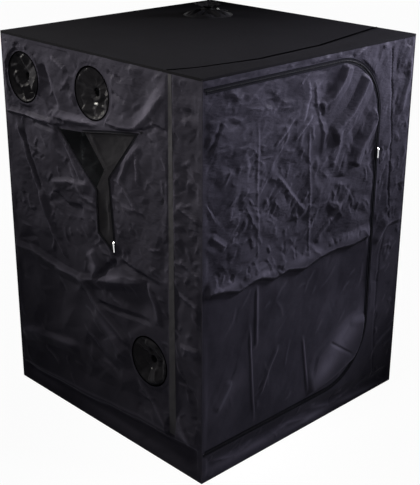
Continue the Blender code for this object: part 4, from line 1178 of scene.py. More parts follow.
LEFT_RELIEF = Relief(
    creases=(
        # Folds that run down from the rear port
        Crease(((-0.66, 1.56), (-0.59, 1.41), (-0.50, 1.24), (-0.39, 1.04)), 0.0080, 0.024, 0.012),
        Crease(((-0.62, 1.52), (-0.54, 1.36), (-0.45, 1.18)), -0.0075, 0.014, 0.020),
        Crease(((-0.48, 1.22), (-0.37, 0.99), (-0.26, 0.87)), 0.0065, 0.018, 0.010),
        # Storage creases above the slit
        Crease(((-0.74, 1.590), (-0.50, 1.592), (-0.32, 1.600)), 0.0055, 0.012, 0.007, taper=0.05),
        Crease(((-0.52, 1.565), (-0.31, 1.567)), -0.0040, 0.006, 0.010),
        Crease(((-0.34, 1.64), (-0.11, 1.645), (0.05, 1.675)), 0.0070, 0.020, 0.012),
        Crease(
            ((0.06, 1.690), (0.20, 1.685), (0.31, 1.700), (0.41, 1.78), (0.53, 1.92)),
            0.0080,
            0.030,
            0.012,
        ),
        Crease(((0.31, 1.675), (0.45, 1.735), (0.53, 1.72)), -0.0050, 0.008, 0.014),
        Crease(((0.11, 1.93), (0.22, 1.90)), -0.0035, 0.008, 0.008),
        Crease(((0.14, 1.84), (0.25, 1.81)), -0.0035, 0.008, 0.010),
        Crease(((-0.33, 1.93), (-0.20, 1.88)), 0.0040, 0.008, 0.014),
        Crease(((-0.43, 1.88), (-0.35, 1.76), (-0.28, 1.66)), -0.0100, 0.026, 0.040),
        # The laid back edges of the slit's arms
        Crease(((-0.29, 1.60), (-0.20, 1.47), (-0.10, 1.33)), 0.0060, 0.022, 0.012),
        Crease(((-0.22, 1.42), (-0.10, 1.27), (0.06, 1.24), (0.09, 1.10)), 0.0050, 0.012, 0.016),
        Crease(((0.34, 1.63), (0.24, 1.52), (0.17, 1.40)), 0.0050, 0.012, 0.018),
        # Each side of the slit's leg
        Crease(((-0.38, 1.28), (-0.22, 1.32), (-0.04, 1.34)), 0.0070, 0.010, 0.030),
        Crease(((-0.36, 1.24), (-0.24, 1.18), (-0.10, 1.20)), -0.0060, 0.012, 0.030),
        Crease(((0.17, 1.43), (0.33, 1.28)), 0.0045, 0.008, 0.014),
        Crease(((0.31, 1.60), (0.31, 1.42)), 0.0030, 0.006, 0.010),
        # The lit facets under the slider and the dark hollow below them
        Crease(((-0.06, 1.00), (-0.01, 0.92), (-0.05, 0.84)), 0.0090, 0.016, 0.036),
        Crease(((0.15, 1.00), (0.04, 0.91), (-0.04, 0.83)), -0.0070, 0.010, 0.012),
        Crease(((0.16, 1.00), (0.28, 0.975), (0.40, 0.97)), -0.0060, 0.014, 0.010),
        Crease(((0.06, 0.86), (0.20, 0.93), (0.33, 0.95)), 0.0090, 0.028, 0.018),
        Crease(
            (
                *((-0.75, 0.83), (-0.56, 0.845), (-0.34, 0.805), (-0.14, 0.81)),
                *((-0.02, 0.845), (0.22, 0.90), (0.36, 0.95)),
            ),
            0.0085,
            0.016,
            0.030,
            taper=0.04,
        ),
        Crease(((0.36, 0.95), (0.42, 0.86), (0.45, 0.74)), 0.0055, 0.012, 0.020),
        # The long fold down to the front foot, past the low port
        Crease(
            ((-0.16, 0.84), (-0.04, 0.72), (0.08, 0.645), (0.16, 0.60), (0.22, 0.565)),
            0.0095,
            0.014,
            0.022,
            taper=0.08,
        ),
        Crease(((0.27, 0.40), (0.36, 0.34), (0.52, 0.22), (0.57, 0.17)), 0.0060, 0.010, 0.016),
        Crease(((-0.03, 0.72), (0.13, 0.715), (0.41, 0.74)), -0.0065, 0.014, 0.010),
        Crease(((-0.04, 0.68), (0.09, 0.56), (0.20, 0.47)), 0.0095, 0.030, 0.046, soft=True),
        Crease(((-0.14, 0.48), (0.02, 0.40), (0.16, 0.36)), -0.0085, 0.030, 0.030),
        Crease(((-0.745, 0.29), (-0.60, 0.35), (-0.40, 0.375), (-0.18, 0.40)), 0.0100, 0.014, 0.034),
        Crease(((-0.50, 0.29), (-0.36, 0.23)), 0.0045, 0.010, 0.012),
        # Creases of the strip at the front corner
        Crease(((0.58, 0.31), (0.71, 0.18)), 0.0055, 0.012, 0.014),
        Crease(((0.585, 0.54), (0.74, 0.42)), -0.0045, 0.008, 0.014),
        Crease(((0.60, 1.14), (0.74, 1.08)), 0.0045, 0.008, 0.014),
        Crease(((0.58, 0.97), (0.74, 0.93)), 0.0045, 0.008, 0.014),
        Crease(((0.60, 0.70), (0.74, 0.71)), 0.0050, 0.010, 0.014),
        Crease(((0.58, 1.40), (0.74, 1.35)), 0.0045, 0.010, 0.010),
        # The hollow over the skirt
        Crease(
            ((-0.745, 0.055), (-0.60, 0.060), (-0.09, 0.095), (0.42, 0.135), (0.745, 0.140)),
            -0.0120,
            0.030,
            0.055,
            taper=0.02,
        ),
        Crease(
            ((-0.745, 0.125), (-0.09, 0.165), (0.42, 0.205), (0.745, 0.215)),
            0.0110,
            0.050,
            0.032,
            taper=0.02,
        ),
    ),
    slacks=(
        Slack((0.70, 1.47), (0.05, 0.035), -0.008, 0.5),
        Slack((0.66, 1.83), (0.05, 0.020), -0.008, 0.1),
        Slack((-0.45, 0.62), (0.25, 0.14), -0.006),
        Slack((0.22, 0.82), (0.18, 0.06), -0.009),
        Slack((0.30, 1.80), (0.10, 0.07), 0.004),
    ),
    wrinkles=(
        Wrinkles(120, 121, (-0.74, 1.00), (0.74, 1.97), -0.70, 0.50, 0.0056),
        Wrinkles(80, 122, (-0.74, 1.00), (0.74, 1.97), 0.70, 0.40, 0.0056),
        Wrinkles(70, 123, (-0.74, 0.20), (0.74, 1.00), -0.50, 0.50, 0.0056, (0.05, 0.16)),
        Wrinkles(30, 124, (0.58, 0.20), (0.74, 1.90), 0.10, 0.60, 0.0046, (0.04, 0.10)),
    ),
    crushes=(
        Crush(0.120, 0.0085, 31, 1.5, 1.0, 0.95),
        Crush(0.056, 0.0052, 32, 1.7, -0.5, 0.92),
        Crush(0.026, 0.0018, 33, 1.8, 0.2, 0.92),
        Crush(0.130, 0.0110, 34, 1.7, 0.7, -9.0, 1.0),
        Crush(0.055, 0.0050, 35, 1.8, 0.5, -9.0, 1.0),
    ),
    # Painted highlights in the cloth's lighter colour: the lit facets under the slider, lit ridges and fold
    # crests, the band round the foot and spots on the corner strip
    lightened=(
        Slack((-0.04, 0.93), (0.035, 0.060), 1.0, 0.3),
        Slack((0.15, 0.90), (0.10, 0.022), 0.9, 0.2),
        Slack((-0.62, 0.35), (0.10, 0.025), 1.0, 0.2),
        Slack((-0.35, 0.39), (0.14, 0.018), 0.9, 0.1),
        Slack((0.07, 0.60), (0.10, 0.028), 0.8, -0.7),
        Slack((0.64, 0.22), (0.07, 0.020), 1.0, -0.6),
        Slack((-0.10, 1.66), (0.18, 0.020), 0.9, 0.1),
        Slack((-0.55, 0.05), (0.18, 0.018), 0.5),
        Slack((0.05, 0.06), (0.25, 0.018), 0.5),
        Slack((0.66, 0.70), (0.06, 0.030), 0.5, 0.3),
        Slack((0.66, 1.10), (0.05, 0.030), 0.4, 0.6),
        Slack((0.40, 1.80), (0.16, 0.030), 0.8, 0.9),
    ),
    fold=2.4,
    deepest=0.030,
    highest=0.030,
)

PLAIN_RELIEF = Relief(
    creases=(
        Crease(
            ((-0.74, 0.98), (-0.30, 0.97), (0.20, 0.985), (0.74, 0.98)),
            0.0100,
            0.036,
            0.012,
            taper=0.03,
        ),
        Crease(
            ((-0.26, 0.10), (-0.25, 0.60), (-0.24, 1.20), (-0.25, 1.90)),
            0.0038,
            0.008,
            0.008,
            taper=0.04,
        ),
        Crease(((0.25, 0.10), (0.24, 0.70), (0.26, 1.30), (0.25, 1.90)), 0.0038, 0.008, 0.008, taper=0.04),
        Crease(((-0.60, 1.80), (-0.40, 1.55), (-0.30, 1.30)), 0.0070, 0.016, 0.020),
        Crease(((0.62, 1.60), (0.45, 1.30), (0.40, 1.12)), 0.0070, 0.020, 0.014),
        Crease(((-0.10, 0.75), (0.15, 0.50), (0.45, 0.35)), 0.0080, 0.016, 0.026),
        Crease(((-0.65, 0.55), (-0.45, 0.35), (-0.15, 0.25)), 0.0070, 0.018, 0.022),
        Crease(((-0.745, 0.07), (0.0, 0.085), (0.745, 0.07)), -0.0100, 0.026, 0.045, taper=0.02),
    ),
    slacks=(Slack((0.0, 1.45), (0.35, 0.30), 0.004), Slack((0.1, 0.6), (0.4, 0.2), -0.005)),
    wrinkles=(
        Wrinkles(90, 131, (-0.74, 1.00), (0.74, 1.95), -0.70, 0.50, 0.0046),
        Wrinkles(70, 132, (-0.74, 0.15), (0.74, 1.90), 0.70, 0.50, 0.0040, (0.05, 0.16)),
    ),
    crushes=(
        Crush(0.120, 0.0085, 41, 1.5, 0.7, 0.95),
        Crush(0.054, 0.0050, 42, 1.7, -0.6, 0.95),
        Crush(0.140, 0.0055, 43, 1.7, 0.9, -9.0, 1.0),
        Crush(0.060, 0.0024, 44, 1.8, 0.4, -9.0, 1.0),
    ),
)

ROOF_SEAM = (
    *((-0.745, -0.52), (-0.60, -0.574), (-0.28, -0.629), (0.16, -0.61), (0.69, -0.508), (0.745, -0.50)),
)

ROOF_RELIEF = Relief(
    creases=(
        Crease(ROOF_SEAM, -0.0030, 0.006, 0.010, taper=0.02),
        Crease(
            ((-0.74, -0.56), (-0.28, -0.660), (0.16, -0.645), (0.74, -0.54)),
            0.0022,
            0.012,
            0.030,
            taper=0.03,
        ),
    ),
    slacks=(Slack((0.0, 0.0), (0.5, 0.5), -0.0015),),
    crushes=(Crush(0.20, 0.0012, 51, 1.5, 0.3),),
    deepest=0.0016,
)

STRIP_RELIEF = Relief(
    crushes=(Crush(0.040, 0.0016, 56, 2.2, 0.1), Crush(0.020, 0.0008, 57, 2.0, 0.2)),
    edge_flat=0.0,
    edge_ramp=0.010,
    deepest=0.0012,
    highest=0.003,
)

FLAP_RELIEF = Relief(
    creases=(
        Crease(((-0.05, 1.62), (0.02, 1.52), (0.09, 1.44)), 0.0040, 0.010, 0.014),
        Crease(((0.10, 1.38), (0.08, 1.24), (0.10, 1.10)), 0.0035, 0.008, 0.010),
    ),
    slacks=(Slack((0.08, 1.56), (0.10, 0.06), -0.010), Slack((0.06, 1.20), (0.04, 0.10), -0.006)),
    crushes=(Crush(0.060, 0.0034, 61, 1.4, 0.9), Crush(0.030, 0.0014, 62, 1.4, 0.2)),
    deepest=0.016,
    highest=0.0,
)


@dataclass
class Cover:
    """The walls, roof and floor of the cover, with the slit and the seam strip."""

    port_radius: float = 0.125
    flange: float = 0.016
    flap_overlap: float = 0.02
    tape: float = 0.013
    binding: float = 0.0065
    hinge_binding: float = 0.0026
    binding_foot: float = -0.0006
    binding_edge: float = 0.0004
    binding_crown_share: float = 0.43
    binding_end: float = 0.003
    ring_heights: tuple[float, ...] = (-0.0004, 0.0010, 0.0022, 0.0010)
    hem_drop: float = 0.006
    hem_end: float = 0.001
    hem_span: Point = (-0.006, 0.0055)
    hem_heights: tuple[float, ...] = (-0.0006, 0.0006, 0.0012, 0.0008)
    seam: float = 0.018
    seam_heights: tuple[float, ...] = (-0.0004, 0.0004, 0.0030, 0.0006)
    strip_head: float = 0.022
    strip_lift: float = 0.0014
    flap_lift: float = -0.0024
    coil_inset: float = 0.0012
    floor_thickness: float = 0.0019
    spacing: float = 0.0090
    plain_spacing: float = 0.0125
    floor_spacing: float = 0.05
    flap_spacing: float = 0.008
    strip_spacing: float = 0.007

    # The slit's opened edge, in shares of its width from its front end and of its height from
    # its top, and the front end and top of its box in the left wall's metres
    slit_size: Point = (0.579, 0.620)
    slit_corner: Point = (0.305, 1.663)
    slit_shares: tuple[Point, ...] = (
        (1.000, 0.137),
        (0.682, 0.106),
        (0.340, 0.047),
        (0.000, 0.000),
        (0.3575, 0.405),
        (0.309, 0.973),
        (0.326, 1.000),
        (0.504, 0.892),
        (0.511, 0.539),
    )
    gape_foot_shares: Point = (0.413, 0.360)

    def slit_points(self, *shares: Point) -> np.ndarray:
        """Return places of the slit in the left wall's metres."""
        return np.array(self.slit_corner) - np.array(shares) * np.array(self.slit_size)

    def ports(self) -> dict[str, Point]:
        """Return the centre of each side port in the left wall's metres."""
        centres = {}
        for name in ("rear", "middle", "low"):
            low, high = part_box(f"{name}_sleeve")
            centres[name] = (-(low.y + high.y) / 2, (low.z + high.z) / 2)
        return centres

    def build(self, trims: dict[Side, tuple[bpy.types.Object, ...]]) -> None:
        """Make every sheet of the cover but the door and its surround.

        Args:
            trims: the bindings of each wall; not used.
        """
        centres = self.ports()
        low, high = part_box("left_wall")
        slit = self.slit_points(*self.slit_shares)
        left = Sheet(
            "left_wall_cloth",
            Side.LEFT,
            rectangle(low.y, low.z, high.y, high.z),
            LEFT_RELIEF,
            holes=(*(circle(c, self.port_radius) for c in centres.values()), slit),
            calm=(
                *(circle(c, self.port_radius + self.flange) for c in centres.values()),
                grown(slit, self.tape),
                self.strip_cut(),
            ),
            spacing=self.spacing,
        )
        piece = dress(left.build(), COVER_BODY, "cover_cloth", "left_wall")
        tapes = (*self.build_slit(left), *self.build_rings(centres))
        for name, side in (("back_wall", Side.BACK), ("right_wall", Side.RIGHT)):
            low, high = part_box(name)
            half = high.x if side is Side.BACK else high.y
            cut = rectangle(-half, low.z, half, high.z)
            wall = Sheet(f"{name}_cloth", side, cut, PLAIN_RELIEF, spacing=self.plain_spacing)
            piece = dress(wall.build(), COVER_BODY, "cover_cloth", name)
        self.build_roof()
        self.build_floor()

    def build_roof(self) -> None:
        """Make the roof with its port."""
        low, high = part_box("roof_panel")
        port_low, port_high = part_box("roof_sleeve")
        centre = ((port_low.x + port_high.x) / 2, (port_low.y + port_high.y) / 2)
        roof = Sheet(
            "roof_cloth",
            Side.ROOF,
            rectangle(low.x, low.y, high.x, high.y),
            ROOF_RELIEF,
            holes=(circle(centre, self.port_radius),),
            calm=(circle(centre, self.port_radius + self.flange),),
            spacing=self.plain_spacing,
            outer=ROOF,
        )
        piece = dress(roof.build(), COVER_BODY, "roof_cloth", "roof_panel")
        half = self.seam / 2
        felled = raised_profile((-half, half), self.seam_heights, -half / 2)
        # The felled seam is near-black, with the shade in its groove painted in
        seam = ribbon("roof_seam", Side.ROOF, np.array(ROOF_SEAM), felled, SEAM_SHADE, under=roof)
        dress(seam, COVER_BODY, "roof_cloth")

    def build_floor(self) -> None:
        """Make the floor sheet."""
        low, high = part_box("floor_sheet")
        floor = Sheet(
            "floor_cloth",
            Side.ROOF,
            rectangle(low.x, low.y, high.x, high.y),
            spacing=self.floor_spacing,
            lift=high.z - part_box("roof_panel")[1].z,
            outer=FLOOR,
            inner=FLOOR,
            thickness=self.floor_thickness,
        )
        piece = dress(floor.build(), COVER_BODY, "floor_cloth", "floor_sheet")

    def build_slit(self, wall: Sheet) -> tuple[bpy.types.Object, ...]:
        """Make the flap behind the slit, the tape round it and the seam strip.

        Args:
            wall: the left wall's sheet.

        Returns:
            The zip's tape and coil.
        """
        slit = self.slit_points(*self.slit_shares)
        foot = self.slit_points(self.gape_foot_shares)
        cut = np.vstack((grown(slit, self.flap_overlap)[1:], foot))
        flap = Sheet(
            "flap_cloth",
            Side.LEFT,
            cut,
            FLAP_RELIEF,
            spacing=self.flap_spacing,
            lift=self.flap_lift,
            # The darker sleeve cloth paints the shade of the flap's recess behind the slit
            outer=SLEEVE,
        )
        piece = dress(flap.build(), COVER_BODY, "cover_cloth", "access_flap")
        route, edge = (np.roll(grown(slit, by), -1, 0) for by in (self.tape / 2, self.coil_inset))
        tape, coil = zip_half("slit_zip_tape", Side.LEFT, route, edge, self.tape)
        dress(tape, COVER_BODY, "zip_tape", "access_zip_tape")
        dress(coil, COVER_BODY, "zip_tape")
        strip = Sheet(
            "seam_strip_cloth",
            Side.LEFT,
            self.strip_cut(),
            relief=STRIP_RELIEF,
            spacing=self.strip_spacing,
            lift=self.strip_lift,
            outer=STRIP,
            inner=STRIP,
            under=wall,
        )
        piece = dress(strip.build(), COVER_BODY, "cover_cloth", "side_seam_strip")
        return tape, coil

    def build_rings(self, centres: dict[str, Point]) -> tuple[bpy.types.Object, ...]:
        """Make the binding round each side port: its own dark, with the shade at the port's rim painted in.

        Args:
            centres: the ports' centres on the left wall, by name.

        Returns:
            The rings.
        """
        rings = []
        half = self.binding / 2
        section = raised_profile((-half, half), self.ring_heights)
        for name, centre in centres.items():
            loop = circle(centre, self.port_radius + half)
            ring = ribbon(f"{name}_port_binding", Side.LEFT, np.vstack((loop, loop[:1])), section, SEAM_SHADE)
            rings.append(dress(ring, COVER_BODY, "cover_cloth"))
        return tuple(rings)

    def strip_cut(self) -> np.ndarray:
        """Return the seam strip's outline in the left wall's metres, wider at its foot."""
        low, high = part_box("side_seam_strip")
        place = -(low.y + high.y) / 2
        foot, head = (high.y - low.y) / 2, self.strip_head / 2
        corners = ((-foot, low.z), (foot, low.z), (head, high.z), (-head, high.z))
        return np.array([(place + across, height) for across, height in corners])

    def build_bindings(self) -> dict[Side, tuple[bpy.types.Object, ...]]:
        """Make the binding along each upright corner and round the top, and return it by wall."""
        made = {}
        hem = raised_profile(self.hem_span, self.hem_heights)
        for side in (Side.FRONT, Side.BACK, Side.LEFT, Side.RIGHT):
            name = side.name.lower()
            (_, foot), (reach, top) = side.reach()
            for end, sign in (("start", -1), ("end", 1)):
                # The open door folds over the binding next to its hinge
                hinged = side is Side.FRONT and sign < 0
                half = (self.hinge_binding if hinged else self.binding) / 2
                crown = half * self.binding_crown_share
                heights = (self.binding_foot, self.binding_edge, crown, self.binding_edge)
                section = raised_profile((-half, half), heights)
                place = sign * (reach - half)
                route = np.array(((place, foot + self.binding_end), (place, top - self.binding_end)))
                piece = ribbon(f"{name}_corner_binding_{end}", side, route, section, BINDING)
                made.setdefault(side, []).append(dress(piece, COVER_BODY, "cover_cloth"))
            half = reach - self.hem_end
            route = np.array(((-half, top - self.hem_drop), (half, top - self.hem_drop)))
            piece = ribbon(f"{name}_top_hem", side, route, hem, ROOF)
            made[side].append(dress(piece, COVER_BODY, "roof_cloth"))
        return {side: tuple(pieces) for side, pieces in made.items()}


def grown(loop: np.ndarray, margin: float) -> np.ndarray:
    """Return a loop with each side moved outwards."""
    ahead = np.roll(loop, -1, 0)
    area = float((loop[:, 0] * ahead[:, 1] - ahead[:, 0] * loop[:, 1]).sum())
    runs = ahead - loop
    runs /= np.linalg.norm(runs, axis=1)[:, None]
    out = np.stack((runs[:, 1], -runs[:, 0]), 1) * (1 if area > 0 else -1)
    before = np.roll(out, 1, 0)
    mitre = (before + out) / (1 + (before * out).sum(1))[:, None]
    return loop + mitre * margin


class Gather(Enum):
    """How a sleeve's cloth lies: pushed in through its wall, or standing in a bunch."""

    PUSHED_IN = 0
    STANDING = 1


@dataclass
class Sleeve:
    """A duct sleeve drawn in by its cord, with uneven pleats and a loose ruffle."""

    name: str
    seed: int
    gather: Gather
    radius: float = 0.125
    flange: float = 0.012
    neck: float = 0.021
    neck_height: float = 0.034
    band: float = 0.012
    crumple_heights: Point = (0.030, 0.015)
    # Cell size, share of the crumple's height, stretch, turn for each unit of the seed, and seed
    crumples: tuple[tuple[float, ...], ...] = ((0.055, 1, 1.9, 0.3, 20), (0.022, 0.35, 1.8, 0.5, 40))
    lock_turn: float = 0.0
    cord: float = 0.003
    around: int = 216
    twist: float = 0.21
    thickness: float = 0.0008
    standing_turn: float = -pi / 5
    # Share of the port's radius, height, and depth of the pleats along the axis and across it
    funnel: tuple[tuple[float, ...], ...] = (
        (0.94, 0.0030, 0.0030, 0.0),
        (0.84, 0.0060, 0.0090, 0.0),
        (0.72, 0.0090, 0.0150, 0.0),
        (0.60, 0.0120, 0.0170, 0.001),
        (0.48, 0.0150, 0.0150, 0.001),
        (0.37, 0.0185, 0.0110, 0.001),
        (0.28, 0.0220, 0.0060, 0.001),
    )
    # The same before the neck and beyond it, with shares of the neck's radius; the height of the
    # flare and of the ruffle is over the neck
    throat: tuple[float, ...] = (1.16, 0.0260, 0.0020, 0.0014)
    flare: tuple[float, ...] = (1.25, 0.006, 0.002, 0.0030)
    # Depth of the pleats across at the start, the middle and the end of the neck
    neck_pleats: tuple[float, ...] = (0.0015, 0.0014, 0.0016)
    ruffle: tuple[tuple[float, ...], ...] = (
        (0.28, 0.013, 0.005, 0.0050),
        (0.36, 0.019, 0.008, 0.0065),
        (0.42, 0.022, 0.010, 0.0075),
    )

    def place(self) -> Matrix:
        """Return the matrix from the sleeve's own metres, +Z along it, to the tent's."""
        low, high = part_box(f"{self.name}_sleeve")
        middle = (low + high) / 2
        if self.gather is Gather.STANDING:
            turn = Matrix.Rotation(self.standing_turn, 4, "Z")
            return Matrix.Translation((middle.x, middle.y, low.z)) @ turn
        turn = Matrix(((0, 0, 1, 0), (0, 1, 0, 0), (-1, 0, 0, 0), (0, 0, 0, 1)))
        return Matrix.Translation((low.x, middle.y, middle.z)) @ turn

    def stations(self) -> list[tuple[float, float, float, float]]:
        """Return the profile: radius, height, pleat depth along the axis, and across it."""
        neck_low = self.neck_height - self.band / 2
        neck_high = self.neck_height + self.band / 2
        standing = self.gather is Gather.STANDING
        pleat_share, ruffle_share, height_share = (1.0, 1.35, 0.55) if standing else (0.18, 1.0, 1.0)
        welt, welt_height, waist, waist_place = 0.001, 0.0002, 0.0004, 0.001
        rim = [
            (self.radius + self.flange, 0.0, 0.0, 0.0),
            (self.radius + welt, welt_height, 0.0, 0.0),
        ]
        funnel = [
            (self.radius * share, height, pleat_share * rise, spread)
            for share, height, rise, spread in self.funnel
        ]
        throat, flare = self.throat, self.flare
        neck = [
            (self.neck * throat[0], *throat[1:]),
            (self.neck, neck_low + waist_place, 0.0, self.neck_pleats[0]),
            (self.neck - waist, self.neck_height, 0.0, self.neck_pleats[1]),
            (self.neck, neck_high, 0.0, self.neck_pleats[2]),
            (self.neck * flare[0], neck_high + flare[1], *flare[2:]),
        ]
        ruffle = [
            (
                self.radius * share * ruffle_share,
                neck_high + height * height_share,
                rise * ruffle_share,
                spread * ruffle_share,
            )
            for share, height, rise, spread in self.ruffle
        ]
        return [*rim, *funnel, *neck, *ruffle]

    def wave(self, angles: np.ndarray) -> np.ndarray:
        """Return the uneven pleats round the sleeve, from 0 in a valley to 1 on a crest."""
        swing_share, fine_swing_share, uneven_share = 0.30, 1.4, 0.45
        pleats, fine_pleats, sharp_share, sharpness = 11, 25, 0.75, 0.8
        lock_share, lock_reach = 0.85, 0.42
        chance = np.random.default_rng(self.seed)
        swing = np.zeros(len(angles))
        for turns in (2, 3, 5):
            swing += swing_share / turns * np.sin(turns * angles + chance.uniform(0, tau))
        sharp = np.abs(np.sin((angles + swing) * pleats / 2 + chance.uniform(0, tau)))
        fine = (angles + swing * fine_swing_share) * fine_pleats / 2 + chance.uniform(0, tau)
        share = sharp_share * sharp**sharpness + (1 - sharp_share) * np.abs(np.sin(fine))
        uneven = 1 + uneven_share * np.sin(3 * angles + chance.uniform(0, tau))
        away = (angles - self.lock_turn + pi) % tau - pi
        beside_lock = 1 - lock_share * np.exp(-((away / lock_reach) ** 2))
        return share * uneven * beside_lock

    def crumple(self, radii: np.ndarray, angles: np.ndarray) -> np.ndarray:
        """Return how far the loose cloth between the rim and the neck is pushed about."""
        # The facets are made over a wall, so the sleeve borrows those round a point of it
        middle_height = 1.0
        points = np.stack((radii * np.cos(angles), radii * np.sin(angles) + middle_height), 1)
        height = self.crumple_heights[self.gather.value]
        lifts = np.zeros(len(points))
        for cell, share, stretch, turn, seed in self.crumples:
            crush = Crush(cell, height * share, self.seed + seed, stretch, turn * self.seed)
            lifts += crush.heights(points)
        (inner, inner_fade), (outer, outer_fade) = (0.27, 0.2), (0.99, 0.12)
        share = radii / self.radius
        loose = smooth_step((share - inner) / inner_fade) * smooth_step((outer - share) / outer_fade)
        return lifts * loose

    def build(self) -> None:
        """Make the sleeve and its drawcord."""
        standing = self.gather is Gather.STANDING
        steps, row_length, crinkle_share, ruffle_share, least_wear_and_highlight = 3, 0.01, 0.5, 0.4, 0.75
        twist_start, twist_reach = 0.1, 0.6
        rows = np.array(self.stations())
        marks = np.linspace(0, len(rows) - 1, steps * (len(rows) - 1) + 1)
        profile = np.stack([np.interp(marks, np.arange(len(rows)), row) for row in rows.T], 1)
        angles = np.arange(self.around) * tau / self.around
        points = []
        for row, (radius, height, rise, spread) in enumerate(profile):
            turned = smooth_step(np.array((row / len(profile) - twist_start) / twist_reach))
            wave = self.wave(angles + float(turned) * self.twist)
            out = radius + spread * (2 * wave - 1)
            loose = ruffle_share if height > self.neck_height else 1.0
            lift = height + rise * wave + loose * self.crumple(out, angles)
            points.append(np.stack((out * np.cos(angles), out * np.sin(angles), lift), 1))
        world = to_tent(np.vstack(points), self.place())
        faces = faces_between(len(profile), self.around)
        along = np.repeat(marks * row_length, self.around)
        uv = np.stack((np.tile(angles * self.radius, len(profile)), along), 1)
        # The pleats' crests take the lighter colour: rubbed wear and painted highlight
        wear_and_highlight = np.clip(np.tile(self.wave(angles), len(profile)) - least_wear_and_highlight, 0, 1)
        if standing:
            # Only the ruffle's crests take the lighter colour, as painted glints
            start, reach = 0.35, 0.5
            wear_and_highlight *= np.repeat(smooth_step((marks / marks[-1] - start) / reach), self.around)
        values = {"crushed": np.full(len(world), crinkle_share), "wear_and_highlight": wear_and_highlight}
        finishes = (ROOF_SLEEVE if standing else SLEEVE,) * 2
        piece = finish_mesh(f"{self.name}_sleeve_cloth", world, faces, uv, finishes, values)
        thicken(piece, self.thickness, 1.0)
        dress(piece, COVER_BODY, "cover_cloth", f"{self.name}_sleeve")
        self.build_cord()

    def build_cord(self) -> None:
        """Make the drawcord: round the neck, through the lock and back in a bight."""
        pleats, cloth, clearance, slope_angle = 0.0016, 0.0015, 0.0006, radians(7)
        round_neck = self.neck + pleats + cloth + self.cord / 2 + clearance
        slot_pitch, place_of_lock, travel, lock, tail = 0.0037, 0.056, 0.03, 0.007, 0.016
        strand = slot_pitch / 2
        mouth = place_of_lock - lock - self.cord
        reach = hypot(mouth, strand)
        leave = pi / 2 - atan2(round_neck, sqrt(reach**2 - round_neck**2)) + atan2(strand, mouth)
        points = []
        neck_points, bight_points = 23, 8
        for angle in np.linspace(leave, tau - leave, neck_points):
            points.append((round_neck * cos(angle), round_neck * sin(angle), 0))
        end = place_of_lock + travel + lock + tail
        points += [(mouth, -strand, 0), (place_of_lock, -strand, 0), (end - tail, -strand, 0)]
        for step in range(1, bight_points):
            angle = -pi / 2 + pi * step / bight_points
            bulge = strand + self.cord / 4
            points.append((end - strand + strand * cos(angle), bulge * sin(angle), 0))
        points += [(end - tail, strand, 0), (place_of_lock, strand, 0), (mouth, strand, 0)]
        slope = Matrix.Rotation(slope_angle, 4, "Y")
        place = self.place() @ Matrix.Translation((0, 0, self.neck_height)) @ slope
        data = bpy.data.curves.new(f"{self.name}_drawcord_braid", "CURVE")
        data.dimensions = "3D"
        data.bevel_depth = self.cord / 2
        data.bevel_resolution = 3
        spline = data.splines.new("POLY")
        spline.points.add(len(points) - 1)
        for target, point in zip(spline.points, points):
            target.co = (*(place @ Vector(point)), 1)
        spline.use_cyclic_u = True
        data.materials.append(CORD.material())
        piece = bpy.data.objects.new(f"{self.name}_drawcord_braid", data)
        bpy.context.scene.collection.objects.link(piece)
        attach(piece, COVER_BODY)
        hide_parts(f"{self.name}_drawcord")
        log.info("made %s", piece.name)


@dataclass
class Tray:
    """The lift-out floor tray: a sheet folded up at its four sides."""

    wall: float = 0.0012
    fold: float = 0.004
    fold_angle: float = radians(40)
    cuts: int = 9

    def build(self) -> None:
        """Make the tray from a cube, opened and thickened."""
        low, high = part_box("floor_tray")
        middle = (low + high) / 2
        bpy.ops.object.select_all(action="DESELECT")
        bpy.ops.mesh.primitive_cube_add(size=1, location=middle)
        tray = bpy.context.object
        tray.name = tray.data.name = "floor_tray_cloth"
        tray.scale = high - low
        bpy.ops.object.transform_apply(location=True, rotation=True, scale=True)
        bpy.ops.object.mode_set(mode="EDIT")
        bpy.ops.mesh.select_all(action="DESELECT")
        bpy.ops.mesh.select_mode(type="FACE")
        bpy.ops.object.mode_set(mode="OBJECT")
        for face in tray.data.polygons:
            face.select = face.normal.z > 0.5
        bpy.ops.object.mode_set(mode="EDIT")
        bpy.ops.mesh.delete(type="FACE")
        bpy.ops.mesh.select_all(action="SELECT")
        bpy.ops.mesh.subdivide(number_cuts=self.cuts)
        bpy.ops.uv.cube_project(cube_size=1.0)
        bpy.ops.object.mode_set(mode="OBJECT")
        bevel = tray.modifiers.new("Folds", "BEVEL")
        bevel.width = self.fold
        bevel.segments = 3
        bevel.limit_method = "ANGLE"
        tray.data.materials.append(FLOOR.material())
        thicken(tray, self.wall)
        shade(tray, self.fold_angle)
        dress(tray, "floor_tray", "floor_cloth", "floor_tray")


def dress_frame(nodes: dict[str, bpy.types.Object]) -> None:
    """Give the frame's own solids that stay in view their finishes."""
    finishes = (
        ("connector", CONNECTOR),
        ("upright", TUBE),
        ("rail", TUBE),
        ("hanging_bar", TUBE),
        ("cord_lock", LOCK),
        ("slider", BRIGHT),
        ("pull_tab", BRIGHT),
    )
    for name, node in nodes.items():
        if node.hide_render:
            continue
        for word, finish in finishes:
            if word in name:
                for slot in node.material_slots:
                    slot.material = finish.material()
                log.info("dressed %s", name)
                break


def seen_directly(tree: bpy.types.NodeTree) -> bpy.types.NodeSocket:
    """Return 1 for what the camera sees directly, in a reflection or through glass."""
    path = tree.nodes.new("ShaderNodeLightPath")
    total = path.outputs["Is Camera Ray"]
    for name in ("Is Glossy Ray", "Is Transmission Ray"):
        either = tree.nodes.new("ShaderNodeMath")
        either.operation = "MAXIMUM"
        tree.links.new(total, either.inputs[0])
        tree.links.new(path.outputs[name], either.inputs[1])
        total = either.outputs["Value"]
    return total


